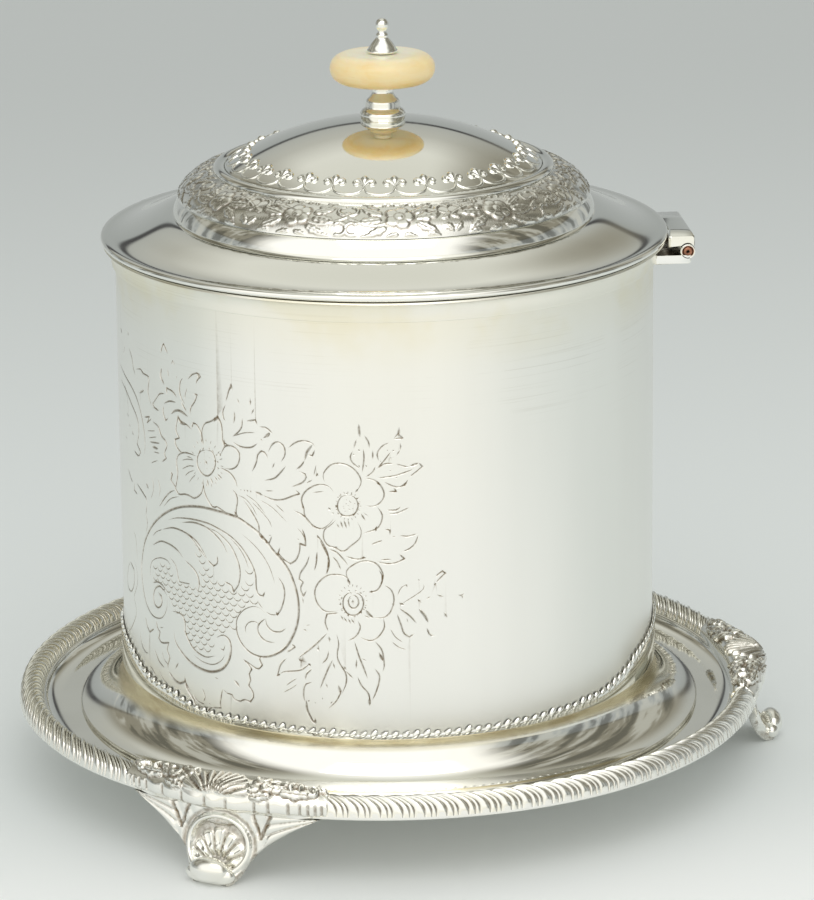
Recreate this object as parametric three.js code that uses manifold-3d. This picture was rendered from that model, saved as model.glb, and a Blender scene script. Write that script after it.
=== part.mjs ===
// A plated biscuit box: a round drum on a footed tray, with a domed lid that
// opens on a knuckled hinge. Millimetres, +Z up, hinge at +Y, front at -Y.
import * as THREE from 'three';
import { mergeVertices } from 'three/addons/utils/BufferGeometryUtils.js';
import Module from 'manifold-3d';

const wasm = await Module();
wasm.setup();

// Driving dimensions

const fit = 0.3;                  // gap between neighbouring pieces
const ringSteps = 32;             // facets round a large ring
const smallSteps = 12;            // facets round a small turned piece

const drumMouthRadius = 70;
const drumTaper = 0.6;            // the drum is this much wider at its foot
const drumWall = 0.9;
const drumHeight = 113.5;
const floorGauge = 0.9;
const stripHeight = 2.3;          // stamped strip round the foot of the drum
const stripGauge = 0.8;

const skirtFlare = 12;            // concave skirt below the drum, beyond its foot
const skirtGauge = 1.0;
const skirtNeck = 0.6;            // how far its neck stands out from the drum
const skirtLedge = 3.2;           // inward shelf that the drum stands on
const skirtHeight = 12.1;
const skirtHem = 0.8;             // upright edge at its foot and its neck

const trayHeight = 18;            // underside of the tray's flange
const trayGauge = 1.0;
const trayFlange = 6;             // width of the flat flange that carries the border
const wellWidth = 5.1;            // from the skirt's foot out to the tray's rise
const wellDrop = 2.4;             // from the flange down to the well
const wellRise = 4.5;             // width of the cavetto between the two

const borderOverhang = 0.8;       // gadroon border beyond the tray's edge
const borderWidth = 6.4;
const borderCrest = 4.6;          // height of its lobes over the flange
const lobeCount = 124;            // lobes that a full circle would hold
const lobeDepth = 0.7;
const lobeSlant = 0.9;            // how far a lobe leans, in lobes
const shellSpan = 33;             // degrees of rim under each shell ornament
const shellGap = 0.25;            // degrees between an ornament and the border run
const shellReach = 3.2;           // how far the shell stands out past the border
const shellRise = 1.6;            // how far it rises over the lobes
const shellStep = 2.2;            // how far it reaches in past them
const shellApron = 1.2;           // how far its face hangs below the flange
const shellFlutes = 11;
const fluteDepth = 0.5;

const footCount = 3;
const hingeAngle = 90;            // azimuth of the hinge and of the foot below it
const footInset = 1.4;            // from the tray's edge in to a foot's shoulder
const footSplay = 7.8;            // from the shoulder out to the scroll
const rollRadius = 2.6;           // scroll at the toe of each foot
const rollLength = 12;
const soleFlat = 0.5;             // depth of the flat filed on the scroll
const footWaist = 7.5;            // half width of a foot just above its scroll
const footSpread = 19;            // what each leaf wing adds at the top
const footFlare = 1.7;            // exponent of the wing's concave edge
const footThickness = 2.2;
const wingThickness = 1.5;

const collarHeight = 5.5;         // concave moulding round the mouth
const collarFoot = 1.0;           // its projection at the lower edge
const collarLip = 2.9;            // its projection at the mouth
const collarBead = 0.3;           // fine bead under its upper edge

const lipOverhang = 3.7;          // rolled edge of the lid beyond the drum
const lipHeight = 1.6;
const lipRoll = 1.7;              // width of the roll
const lidSeat = 4.2;              // width of the flat ring that rests on the mouth
const lidGauge = 0.9;
const flangeSpan = 17.5;          // width of the ogee between the roll and the step
const flangeRise = 5;             // what it climbs
const flangeTuck = 0.8;           // how far it runs in under the step
const stepHeight = 3.8;
const stepWidth = 2.3;
const stepInset = 0.9;            // from the step in to the band above it
const bandSpan = 9.7;             // convex band of flowers
const bandHeight = 6.7;
const beadRadius = 1.0;
const beadGap = 0.4;              // between the band's upper edge and the bead
const domeInset = 2.7;            // from the band's upper edge in to the dome
const domeRise = 11.7;
const domeFoot = 1.0;             // the dome starts this far over the band's top
const bezelClear = 1.3;           // between the bezel and the drum's inside
const bezelDepth = 2.4;
const bezelGauge = 0.9;

const leafLength = 28;            // hinge, along its pin
const pinRadius = 1.1;
const pinOffset = 4.1;            // pin beyond the lid's lip
const pinDrop = 3.7;              // pin below the drum's mouth
const knuckleRadius = 2.0;
const knuckleShare = 11.4;        // length of the lid's own knuckle
const upperLeaf = 3.1;            // thickness of the lid's leaf
const upperGap = 1.2;             // its underside over the pin
const upperReach = 1.8;           // its edge beyond the pin
const lowerLeaf = 2.5;
const lowerGap = 0.8;             // top of the drum's leaf below the pin
const lowerReach = 0.9;

const studRadius = 1.2;
const stemBase = 6.1;             // radius of the stem's lower ring
const stemHeight = 8.4;
const discRadius = 13.6;
const discHeight = 8.4;
const capRadius = 3.95;
const capHeight = 8.4;
const capSocket = 1.7;            // depth of the stud's hole in the cap
const ballRadius = 1.45;
const washerRadius = 4.2;
const washerGauge = 0.8;
const nutFlats = 5.5;
const nutHeight = 2.4;
const studTail = 0.8;             // stud below the nut

// Heights and radii that follow

const drumFootRadius = drumMouthRadius + drumTaper;
const skirtRadius = drumFootRadius + skirtFlare;
const trayRadius = skirtRadius + wellWidth + wellRise + trayFlange;
const borderRadius = trayRadius + borderOverhang;
const borderInner = borderRadius - borderWidth;
const footShoulder = trayRadius - footInset;
const rollReach = footShoulder + footSplay;
const rollCentre = rollRadius - soleFlat;

const flangeTop = trayHeight + trayGauge;
const borderSeat = flangeTop + fit;
const wellTop = flangeTop - wellDrop;
const skirtFoot = wellTop + fit;
const skirtTop = skirtFoot + skirtHeight;
const drumFoot = skirtTop + fit;
const mouthHeight = drumFoot + drumHeight;

const lipRadius = drumMouthRadius + lipOverhang;
const stepRadius = lipRadius - lipRoll - flangeSpan;
const bandRadius = stepRadius - stepInset;
const bandTopRadius = bandRadius - bandSpan;
const domeRadius = bandTopRadius - domeInset;
const bezelRadius = drumMouthRadius - drumWall - bezelClear;
const seatHeight = mouthHeight + fit;
const lipTop = seatHeight + lipHeight;
const stepFoot = lipTop + flangeRise + fit;
const bandFoot = stepFoot + stepHeight + fit;
const bandTop = bandFoot + bandHeight;
const domeBase = bandTop + domeFoot;
const domeTop = domeBase + domeRise;
const domeBall = (domeRadius ** 2 + domeRise ** 2) / (2 * domeRise);

const pinReach = lipRadius + pinOffset;
const pinHeight = mouthHeight - pinDrop;

const bore = studRadius + fit;    // of every piece that the stud passes through
const stemFoot = domeTop + fit;
const discFoot = stemFoot + stemHeight + fit;
const capFoot = discFoot + discHeight + fit;

// The box is centred on its own footprint, which the toe under the hinge
// pushes out of line with the drum.
const axisShift = -(rollReach + rollRadius - borderRadius) / 2;

const deg = THREE.MathUtils.degToRad;

/** Height of the flange's upper face at radius r: an ogee from lip to step. */
function flangeHeight(r) {
  const s = THREE.MathUtils.clamp((stepRadius + flangeSpan - r) / flangeSpan, 0, 1);
  return lipTop + flangeRise * s * s * (3 - 2 * s);
}

/** Height of the dome's upper face at radius r. */
function domeHeight(r) {
  return domeTop - domeBall + Math.sqrt(domeBall ** 2 - r ** 2);
}

// Geometry helpers

/** Points of an elliptic arc about (cx, cy), angles in degrees. */
function arc(cx, cy, rx, ry, from, to, steps) {
  return Array.from({ length: steps + 1 }, (_, i) => {
    const a = deg(from + ((to - from) * i) / steps);
    return [cx + rx * Math.cos(a), cy + ry * Math.sin(a)];
  });
}

/** Turns a profile of [radius, height] about Z; it closes on itself or the axis. */
function turned(profile, steps = ringSteps) {
  const points = profile.map(([r, z]) => new THREE.Vector2(r, z));
  if (THREE.ShapeUtils.area(points) < 0) points.reverse();
  const onAxis = points.findIndex((p) => p.x === 0);
  if (onAxis < 0) {
    points.push(points[0].clone());
  } else {
    while (!(points[0].x === 0 && points[points.length - 1].x === 0)) points.push(points.shift());
  }
  return new THREE.LatheGeometry(points, steps).rotateX(Math.PI / 2);
}

/** An outline of [x, y] raised from z0 to z1. */
function raised(outline, z0, z1) {
  const shape = new THREE.Shape(outline.map(([x, y]) => new THREE.Vector2(x, y)));
  const block = new THREE.ExtrudeGeometry(shape, { depth: z1 - z0, bevelEnabled: false });
  return block.translate(0, 0, z0);
}

/** A cylinder along X, from x0 to x1, about the hinge's pin. */
function alongPin(radius, x0, x1, sides = 16) {
  const rod = new THREE.CylinderGeometry(radius, radius, x1 - x0, sides);
  return rod.rotateZ(Math.PI / 2).translate((x0 + x1) / 2, pinReach, pinHeight);
}

/** A box between two corners. */
function block([x0, y0, z0], [x1, y1, z1]) {
  const box = new THREE.BoxGeometry(x1 - x0, y1 - y0, z1 - z0);
  return box.translate((x0 + x1) / 2, (y0 + y1) / 2, (z0 + z1) / 2);
}

function toManifold(geometry) {
  const bare = geometry.clone();
  bare.deleteAttribute('normal');
  bare.deleteAttribute('uv');
  const merged = mergeVertices(bare, 1e-5);
  return new wasm.Manifold(new wasm.Mesh({
    numProp: 3,
    vertProperties: new Float32Array(merged.attributes.position.array),
    triVerts: new Uint32Array(merged.index.array),
  }));
}

function fromManifold(solid) {
  const mesh = solid.getMesh();
  const geometry = new THREE.BufferGeometry();
  geometry.setAttribute('position', new THREE.BufferAttribute(mesh.vertProperties, 3));
  geometry.setIndex(new THREE.BufferAttribute(mesh.triVerts, 1));
  geometry.computeVertexNormals();
  return geometry;
}

/** Joins the first list of geometries and cuts the second list out of it. */
function shaped(joined, removed = []) {
  let solid = joined.map(toManifold).reduce((a, b) => a.add(b));
  for (const tool of removed) solid = solid.subtract(toManifold(tool));
  return fromManifold(solid);
}

/** A closed body through rings of points; each cap joins one side to the other. */
function lofted(rings) {
  const size = rings[0].length;
  const positions = rings.flat(2);
  const faces = [];
  for (let i = 0; i + 1 < rings.length; i++) {
    for (let j = 0; j < size; j++) {
      const a = i * size + j;
      const b = i * size + ((j + 1) % size);
      faces.push(a, b, a + size, b, b + size, a + size);
    }
  }
  const last = (rings.length - 1) * size;
  for (let j = 0; 2 * j + 2 < size; j++) {
    const [a, b, c, d] = [j, j + 1, size - 2 - j, size - 1 - j];
    faces.push(a, d, b, last + a, last + b, last + d);
    if (b !== c) faces.push(b, d, c, last + b, last + c, last + d);
  }
  const geometry = new THREE.BufferGeometry();
  geometry.setAttribute('position', new THREE.Float32BufferAttribute(positions, 3));
  geometry.setIndex(faces);
  geometry.computeVertexNormals();
  return geometry;
}

// Materials

const metal = (color, roughness) => new THREE.MeshStandardMaterial({ color, roughness, metalness: 1 });
const satinSilver = metal(0xdedbd4, 0.32);
const brightSilver = metal(0xe4e2de, 0.12);
const castSilver = metal(0xd8d2c4, 0.38);
const copperPin = metal(0xa9765c, 0.4);
const steel = metal(0x8f8d88, 0.45);
const ivory = new THREE.MeshStandardMaterial({ color: 0xf0dba8, roughness: 0.3, metalness: 0 });

const object = new THREE.Group();
const box = new THREE.Group();
const lid = new THREE.Group();
object.add(box, lid);
object.position.y = axisShift;

function add(parent, name, geometry, material) {
  const mesh = new THREE.Mesh(geometry, material);
  mesh.name = name;
  parent.add(mesh);
  return mesh;
}

// Tray and skirt

/** A spun dish: flat well, cavetto, and a flat flange for the border. */
function trayProfile() {
  const wellEdge = trayRadius - trayFlange - wellRise;
  const upper = arc(wellEdge, flangeTop, wellRise, wellDrop, -90, 0, 4);
  const lower = arc(wellEdge, trayHeight, wellRise + trayGauge, wellDrop, 0, -90, 4);
  return [[0, wellTop], ...upper, [trayRadius, flangeTop], [trayRadius, trayHeight], ...lower,
    [0, wellTop - trayGauge]];
}

/** The concave skirt that carries the drum, with a shelf turned inward. */
function skirtProfile() {
  const neck = drumFootRadius + skirtNeck;
  const width = skirtRadius - neck;
  const rise = skirtHeight - 2 * skirtHem;
  const centre = skirtTop - skirtHem;
  const face = arc(skirtRadius, centre, width, rise, 270, 180, 5);
  const back = arc(skirtRadius - skirtGauge, centre, width, rise, 180, 260, 4);
  const shelf = drumFootRadius - skirtLedge;
  return [[skirtRadius, skirtFoot], ...face, [neck, skirtTop], [shelf, skirtTop],
    [shelf, skirtTop - skirtGauge], [neck - skirtGauge, skirtTop - skirtGauge], ...back,
    [skirtRadius - 2 * skirtGauge, skirtFoot]];
}

add(box, 'tray_dish', turned(trayProfile()), brightSilver);
add(box, 'base_skirt', turned(skirtProfile()), brightSilver);

// Gadroon border and shell ornaments

/** Puts a section of [radius, height, azimuth in degrees] in place. */
function placed(section) {
  return section.map(([r, z, a]) => [r * Math.cos(deg(a)), r * Math.sin(deg(a)), z]);
}

/** A run of the border: sections that step from lobe to groove and lean with them. */
function gadroonRun(from, to) {
  const pitch = 360 / lobeCount;
  const steps = 2 * Math.round((to - from) / pitch);
  const middle = (borderInner + borderRadius) / 2;
  const rows = 6;
  return lofted(Array.from({ length: steps + 1 }, (_, i) => {
    const depth = i % 2 ? 0 : lobeDepth;
    const ease = Math.min(1, i / 4, (steps - i) / 4);
    const half = borderWidth / 2;
    const crest = arc(0, 0, half, borderCrest, 0, 180, rows).map(([x, z], row) => {
      const grown = row === 0 || row === rows ? 1 : 1 - depth / borderCrest;
      const lean = lobeSlant * pitch * ease * (row / rows - 0.5);
      return [middle + x * grown, borderSeat + z * grown, from + ((to - from) * i) / steps + lean];
    });
    return placed(crest);
  }).reverse());
}

/** A cast shell between leaf scrolls, straddling the border above a foot. */
function shellOrnament() {
  const half = shellSpan / 2;
  const steps = 2 * shellFlutes;
  const tray = trayRadius + fit;
  return lofted(Array.from({ length: steps + 1 }, (_, i) => {
    const a = -half + (shellSpan * i) / steps;
    const fan = Math.max(0, Math.cos((Math.abs(a) / half) * (Math.PI / 2)));
    const rib = (i % 2) * fluteDepth;
    const outer = borderRadius + shellReach * fan ** 2 + rib * fan;
    const crest = borderSeat + borderCrest + shellRise * fan + rib;
    const inner = borderInner - shellStep * fan;
    const apron = trayHeight - shellApron * fan;
    const round = borderCrest / 4;
    return placed([[tray, apron, a], [outer, apron, a], [outer, borderSeat + round, a],
      [outer - round, crest - round, a], [(outer + inner) / 2, crest, a],
      [inner + round, crest - round, a], [inner, borderSeat + round, a],
      [inner + round, borderSeat, a], [tray, borderSeat, a]]);
  }).reverse());
}

const footSpacing = 360 / footCount;
for (let i = 0; i < footCount; i++) {
  const a = hingeAngle + footSpacing * i;
  const from = shellSpan / 2 + shellGap;
  const run = add(box, `gadroon_border_${i + 1}`, gadroonRun(from, footSpacing - from), castSilver);
  const shell = add(box, `shell_ornament_${i + 1}`, shellOrnament(), castSilver);
  run.rotation.z = deg(a);
  shell.rotation.z = deg(a);
}

// Feet

/** Middle of a foot's strap, from the tray down to the scroll. */
const strap = new THREE.CatmullRomCurve3([
  [footShoulder, flangeTop],
  [footShoulder + footSplay * 0.04, trayHeight * 0.69],
  [footShoulder + footSplay * 0.23, trayHeight * 0.38],
  [rollReach - rollRadius * 1.2, rollRadius * 0.92],
  [rollReach - rollRadius * 0.2, rollRadius * 0.46],
].map(([r, z]) => new THREE.Vector3(r, 0, z)));

/** A cast foot: a strap that widens into two leaf wings and ends in a scroll. */
function castFoot() {
  const stations = 10;
  const across = 8;
  const top = strap.getPoint(0).z;
  const rings = Array.from({ length: stations + 1 }, (_, i) => {
    const t = i / stations;
    const at = strap.getPoint(t);
    const way = strap.getTangent(t);
    const rise = Math.max(0, (at.z - rollCentre) / (top - rollCentre));
    const half = footWaist + footSpread * rise ** footFlare;
    const side = (sign) => Array.from({ length: across + 1 }, (_, j) => {
      const s = sign * (1 - (2 * j) / across);
      const gauge = THREE.MathUtils.lerp(footThickness, wingThickness, Math.abs(s) * rise) / 2;
      const r = at.x - sign * gauge * way.z;
      const z = at.z + sign * gauge * way.x;
      const a = (s * half) / footShoulder;
      return [r * Math.cos(a), r * Math.sin(a), z];
    });
    return [...side(1), ...side(-1)];
  });
  const scroll = new THREE.CylinderGeometry(rollRadius, rollRadius, rollLength, smallSteps);
  scroll.translate(rollReach, 0, rollCentre);
  const wide = 2 * (footWaist + footSpread);
  const out = rollReach + wide;
  const ground = block([0, -wide, -trayHeight], [out, wide, 0]);
  const flange = block([0, -wide, trayHeight - fit], [out, wide, 2 * trayHeight]);
  return shaped([lofted(rings), scroll], [ground, flange]);
}

for (let i = 0; i < footCount; i++) {
  const foot = add(box, `foot_${i + 1}`, castFoot(), castSilver);
  foot.rotation.z = deg(hingeAngle + footSpacing * i);
}

// Drum

add(box, 'drum_wall', turned([
  [drumFootRadius - drumWall, drumFoot], [drumFootRadius, drumFoot],
  [drumMouthRadius, mouthHeight], [drumMouthRadius - drumWall, mouthHeight],
]), satinSilver);

add(box, 'drum_floor', turned([
  [0, drumFoot], [drumFootRadius - drumWall - fit, drumFoot],
  [drumFootRadius - drumWall - fit, drumFoot + floorGauge], [0, drumFoot + floorGauge],
]), satinSilver);

const stripInner = drumFootRadius + fit;
add(box, 'foot_strip', turned([
  [stripInner, drumFoot], [stripInner + stripGauge * 0.6, drumFoot],
  [stripInner + stripGauge, drumFoot + stripHeight / 2], [stripInner, drumFoot + stripHeight],
]), castSilver);

/** Concave moulding round the mouth, notched over the hinge's lower leaf. */
function mouthCollar() {
  const foot = mouthHeight - collarHeight;
  const inner = drumMouthRadius + fit;
  const lip = drumMouthRadius + collarLip;
  const bead = 2 * collarBead;
  const hollow = arc(lip, foot + bead, collarLip - collarFoot, collarHeight - 3 * bead, 180, 90, 5);
  const ring = turned([[inner, foot], [drumMouthRadius + collarFoot, foot], ...hollow,
    [lip + collarBead, mouthHeight - bead], [lip, mouthHeight], [inner, mouthHeight]]);
  const clear = leafLength / 2 + fit;
  const notch = block([-clear, 0, 0], [clear, pinReach, pinHeight - lowerGap + fit]);
  return shaped([ring], [notch]);
}

add(box, 'mouth_collar', mouthCollar(), satinSilver);

// Hinge

const halfLeaf = leafLength / 2;
const halfKnuckle = knuckleShare / 2;

/** A leaf with a straight outer edge and an inner edge that follows a ring. */
function leafPlate(innerRadius, reach, z0, z1) {
  const end = THREE.MathUtils.radToDeg(Math.asin(halfLeaf / innerRadius));
  const inner = arc(0, 0, innerRadius, innerRadius, 90 - end, 90 + end, 8);
  const outer = pinReach + reach;
  return raised([...inner, [-halfLeaf, outer], [halfLeaf, outer]], z0, z1);
}

/** The drum's leaf, with a knuckle at each end of the pin. */
function lowerHinge() {
  const top = pinHeight - lowerGap;
  const plate = leafPlate(drumMouthRadius + fit, lowerReach, top - lowerLeaf, top);
  const inside = halfKnuckle + fit;
  const slot = block([-inside, pinReach - knuckleRadius - fit, 0],
    [inside, pinReach + 2 * knuckleRadius, pinHeight + 2 * knuckleRadius]);
  const knuckles = alongPin(knuckleRadius, -halfLeaf, halfLeaf);
  const pinBore = alongPin(pinRadius + fit, -leafLength, leafLength);
  return shaped([plate, knuckles], [slot, pinBore]);
}

/** The lid's leaf, scooped over the drum's knuckles, with its own between them. */
function upperHinge() {
  const foot = pinHeight + upperGap;
  const plate = leafPlate(lipRadius + fit, upperReach, foot, foot + upperLeaf);
  const knuckle = alongPin(knuckleRadius, -halfKnuckle, halfKnuckle);
  const scoops = [-1, 1].map((side) => {
    const ends = [side * halfKnuckle, side * leafLength].sort((a, b) => a - b);
    return alongPin(knuckleRadius + fit, ends[0], ends[1]);
  });
  const pinBore = alongPin(pinRadius + fit, -leafLength, leafLength);
  return shaped([plate, knuckle], [...scoops, pinBore]);
}

add(box, 'hinge_lower_leaf', lowerHinge(), brightSilver);
add(box, 'hinge_pin', alongPin(pinRadius, -halfLeaf, halfLeaf, 12), copperPin);
add(lid, 'hinge_upper_leaf', upperHinge(), brightSilver);

// Lid

/** The spun flange: rolled lip, flat seat below it, ogee climbing to the step. */
function flangeProfile() {
  const edge = lipRadius - lipHeight / 3;
  const steps = 5;
  const start = stepRadius + flangeSpan;
  const inner = stepRadius - stepWidth - flangeTuck;
  const ogee = Array.from({ length: steps + 1 }, (_, i) => {
    const r = start - (flangeSpan * i) / steps;
    return [r, flangeHeight(r)];
  });
  const seatInner = lipRadius - lidSeat;
  const under = Array.from({ length: steps }, (_, i) => {
    const r = THREE.MathUtils.lerp(stepRadius, seatInner - lidGauge, i / (steps - 1));
    return [r, flangeHeight(r) - lidGauge];
  });
  return [[lipRadius, seatHeight], [lipRadius, seatHeight + lipHeight * 0.6], [edge, lipTop],
    ...ogee, [inner, flangeHeight(stepRadius)], [inner, flangeHeight(stepRadius) - lidGauge],
    ...under, [seatInner, seatHeight]];
}

add(lid, 'lid_flange', turned(flangeProfile()), brightSilver);

add(lid, 'lid_bezel', turned([
  [bezelRadius - bezelGauge, mouthHeight - bezelDepth], [bezelRadius, mouthHeight - bezelDepth],
  [bezelRadius, flangeHeight(bezelRadius) - lidGauge - fit],
  [bezelRadius - bezelGauge, flangeHeight(bezelRadius) - lidGauge - fit],
]), brightSilver);

add(lid, 'lid_step_band', turned([
  [stepRadius - stepWidth, stepFoot], [stepRadius - 0.2, stepFoot],
  [stepRadius + 0.3, stepFoot + stepHeight * 0.35], [stepRadius, stepFoot + stepHeight * 0.75],
  [stepRadius - 0.7, stepFoot + stepHeight], [stepRadius - stepWidth, stepFoot + stepHeight],
]), brightSilver);

add(lid, 'lid_floral_band', turned([
  ...arc(bandTopRadius, bandFoot, bandRadius - bandTopRadius, bandHeight, 0, 90, 5),
  ...arc(bandTopRadius, bandFoot, bandRadius - bandTopRadius - lidGauge, bandHeight - lidGauge,
    90, 0, 4),
]), castSilver);

const beadRing = bandTopRadius - beadRadius - beadGap;
add(lid, 'lid_bead_ring', turned(
  arc(beadRing, bandTop + beadRadius * 0.4, beadRadius, beadRadius, 0, 300, 5),
), brightSilver);

/** A shallow dome of even gauge, bored at its crown for the finial's stud. */
function domeProfile() {
  const steps = 5;
  const radii = Array.from({ length: steps + 1 }, (_, i) => bore + ((domeRadius - bore) * i) / steps);
  const over = radii.map((r) => [r, domeHeight(r)]);
  const under = radii.map((r) => [r - lidGauge * (r / domeBall), domeHeight(r) - lidGauge]).reverse();
  under[under.length - 1][0] = bore;
  return [...over, ...under];
}

add(lid, 'lid_dome', turned(domeProfile()), brightSilver);

// Finial

/** Radius and height of each turn, as shares of the piece's own radius and height. */
const stemTurns = [[0.92, 0], [1, 0.11], [0.9, 0.23], [0.74, 0.3], [0.72, 0.52], [0.57, 0.61],
  [0.43, 0.76], [0.49, 0.93], [0.49, 1]];
const capTurns = [[1, 0], [1, 0.06], [0.73, 0.17], [0.43, 0.35], [0.32, 0.51], [0.39, 0.57],
  [0.28, 0.64]];
const turnedTo = (turns, radius, foot, height) => turns.map(([r, z]) => [r * radius, foot + z * height]);

add(lid, 'finial_stem', turned([
  [bore, stemFoot], ...turnedTo(stemTurns, stemBase, stemFoot, stemHeight),
  [bore, stemFoot + stemHeight],
], smallSteps), brightSilver);

/** A flattened disc with a full round edge, bored for the stud. */
function discProfile() {
  const half = discHeight / 2;
  const edge = half * 1.25;
  const rim = arc(discRadius - edge, discFoot + half, edge, half, -90, 90, 8);
  return [[bore, discFoot], ...rim, [bore, discFoot + discHeight]];
}

add(lid, 'finial_disc', turned(discProfile(), smallSteps * 2), ivory);

const capTop = capFoot + capHeight;
const ballCentre = capTop - ballRadius;
const capBore = capFoot + capSocket;
add(lid, 'finial_cap', turned([
  [0, capBore], [bore, capBore], [bore, capFoot], ...turnedTo(capTurns, capRadius, capFoot, capHeight),
  ...arc(0, ballCentre, ballRadius, ballRadius, -40, 60, 4), [0, capTop],
], smallSteps), brightSilver);

const washerTop = domeHeight(washerRadius) - lidGauge - fit;
const nutTop = washerTop - washerGauge - fit;
const studFoot = nutTop - nutHeight - studTail;
add(lid, 'finial_washer', turned([
  [bore, washerTop - washerGauge], [washerRadius, washerTop - washerGauge],
  [washerRadius, washerTop], [bore, washerTop],
], smallSteps), steel);

const nutCorner = nutFlats / Math.sqrt(3);
const nutBlank = raised(arc(0, 0, nutCorner, nutCorner, 0, 300, 5), nutTop - nutHeight, nutTop);
const nutBore = new THREE.CylinderGeometry(bore, bore, 2 * nutHeight, smallSteps);
nutBore.rotateX(Math.PI / 2).translate(0, 0, nutTop - nutHeight / 2);
add(lid, 'finial_nut', shaped([nutBlank], [nutBore]), steel);

const stud = new THREE.CylinderGeometry(studRadius, studRadius, capBore - fit - studFoot, 12);
stud.rotateX(Math.PI / 2).translate(0, 0, (capBore - fit + studFoot) / 2);
add(lid, 'finial_stud', stud, steel);

export default object;
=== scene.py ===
import math

import bmesh
import bpy
import numpy as np
from bpy.props import FloatProperty, FloatVectorProperty, IntProperty, PointerProperty
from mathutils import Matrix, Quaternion, Vector
from mathutils.geometry import delaunay_2d_cdt


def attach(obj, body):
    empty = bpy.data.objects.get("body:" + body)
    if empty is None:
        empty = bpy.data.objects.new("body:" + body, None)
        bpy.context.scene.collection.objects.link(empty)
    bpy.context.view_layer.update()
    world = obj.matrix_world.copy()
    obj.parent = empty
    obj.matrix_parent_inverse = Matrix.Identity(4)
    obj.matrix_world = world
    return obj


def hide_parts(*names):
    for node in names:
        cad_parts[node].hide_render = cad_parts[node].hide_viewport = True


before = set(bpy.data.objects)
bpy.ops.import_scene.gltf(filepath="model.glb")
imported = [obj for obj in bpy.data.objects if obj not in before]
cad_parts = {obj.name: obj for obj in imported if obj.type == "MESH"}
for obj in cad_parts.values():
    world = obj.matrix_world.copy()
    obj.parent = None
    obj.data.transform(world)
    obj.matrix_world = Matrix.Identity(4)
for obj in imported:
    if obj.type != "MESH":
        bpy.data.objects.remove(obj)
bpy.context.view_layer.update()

bl_info = {
    "name": "Silver biscuit box",
    "version": (1, 0, 0),
    "blender": (4, 5, 0),
    "location": "3D View > Sidebar > Biscuit box",
    "description": "Dresses the packed biscuit box: plate, engraving, castings and finial",
    "category": "Object",
}

# All lengths below are millimetres about the drum's axis, with heights from the
# table; place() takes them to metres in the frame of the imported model.
MM = 0.001
AXIS_Y = -4.1
FRONT = -90.0
FOOT_AZIMUTHS = (90.0, 210.0, 330.0)
LATHE_STEPS = 256

MOUTH_Z = 142.8
DRUM_FOOT_Z = 29.3
DRUM_FOOT_R = 70.6
DRUM_MOUTH_R = 70.0
GAUGE = 0.9
TRAY_R = 98.2
BORDER_R = 97.0
LIP_R = 73.7
FLANGE_OUT_R = 72.0
FLANGE_IN_R = 54.5
BAND_R = 49.5
SCALLOP_R = 38.5
DOME_TOP = 173.5
DOME_BALL_R = 78.4
PIN_Y = 77.8
PIN_Z = 139.1


class BoxSizes(bpy.types.PropertyGroup):
    engraving_depth: FloatProperty(
        name="Engraving depth", description="How deep the graver cut the drum's wall",
        default=0.00016, min=0.0, max=0.0004, unit="LENGTH", precision=5)
    engraving_width: FloatProperty(
        name="Engraving width", description="Width of a full graver's cut",
        default=0.00055, min=0.0001, max=0.001, unit="LENGTH", precision=5)
    gadroon_pitch: FloatProperty(
        name="Gadroon pitch", description="Length of border that one big lobe and its reeds take",
        default=0.0053, min=0.002, max=0.02, unit="LENGTH", precision=4)
    bead_pitch: FloatProperty(
        name="Foot strip pitch", description="Length of strip between two of its leaves",
        default=0.0027, min=0.001, max=0.01, unit="LENGTH", precision=4)
    scallops: IntProperty(
        name="Scallops", description="Arches in the ring of scallops on the dome",
        default=30, min=8, max=64)
    floor_width: FloatProperty(
        name="Floor width", description="Side of the studio floor",
        default=9.0, min=1.0, max=20.0, unit="LENGTH")


class BoxColours(bpy.types.PropertyGroup):
    silver: FloatVectorProperty(
        name="Silver", description="Clean silver plate", subtype="COLOR",
        default=(0.915, 0.915, 0.875), min=0, max=1)
    tarnish: FloatVectorProperty(
        name="Tarnish", description="Thin yellow tarnish on the plate", subtype="COLOR",
        default=(0.80, 0.72, 0.50), min=0, max=1)
    # Besides the cuts, this colour darkens the hollows of the castings, and paints shade in the
    # hinge's gap and on the backs of the feet.
    recess: FloatVectorProperty(
        name="Recess", description="Old polish and dark tarnish in the cuts", subtype="COLOR",
        default=(0.23, 0.175, 0.11), min=0, max=1)
    ivory: FloatVectorProperty(
        name="Disc, light", description="Cream heart of the finial's disc", subtype="COLOR",
        default=(0.99, 0.915, 0.69), min=0, max=1)
    # This colour also paints shade over the lower half of the disc.
    amber: FloatVectorProperty(
        name="Disc, dark", description="Amber edge of the finial's disc", subtype="COLOR",
        default=(0.92, 0.67, 0.28), min=0, max=1)
    copper: FloatVectorProperty(
        name="Pin", description="Worn copper of the hinge's pin", subtype="COLOR",
        default=(0.42, 0.20, 0.13), min=0, max=1)
    steel: FloatVectorProperty(
        name="Fixings", description="Turned steel inside the lid", subtype="COLOR",
        default=(0.52, 0.51, 0.49), min=0, max=1)
    floor: FloatVectorProperty(
        name="Floor", description="Pale studio floor", subtype="COLOR",
        default=(0.78, 0.81, 0.79), min=0, max=1)


def sizes():
    return bpy.context.scene.biscuit_box_sizes


def colours():
    return bpy.context.scene.biscuit_box_colours


# Meshes

def place(points):
    """Millimetres about the drum's axis to metres in the frame."""
    return (np.asarray(points, float) + (0.0, AXIS_Y, 0.0)) * MM


def polar(r, a, z):
    """Points at radius r, azimuth a in radians and height z."""
    return np.stack(np.broadcast_arrays(r * np.cos(a), r * np.sin(a), z), -1)


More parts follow.
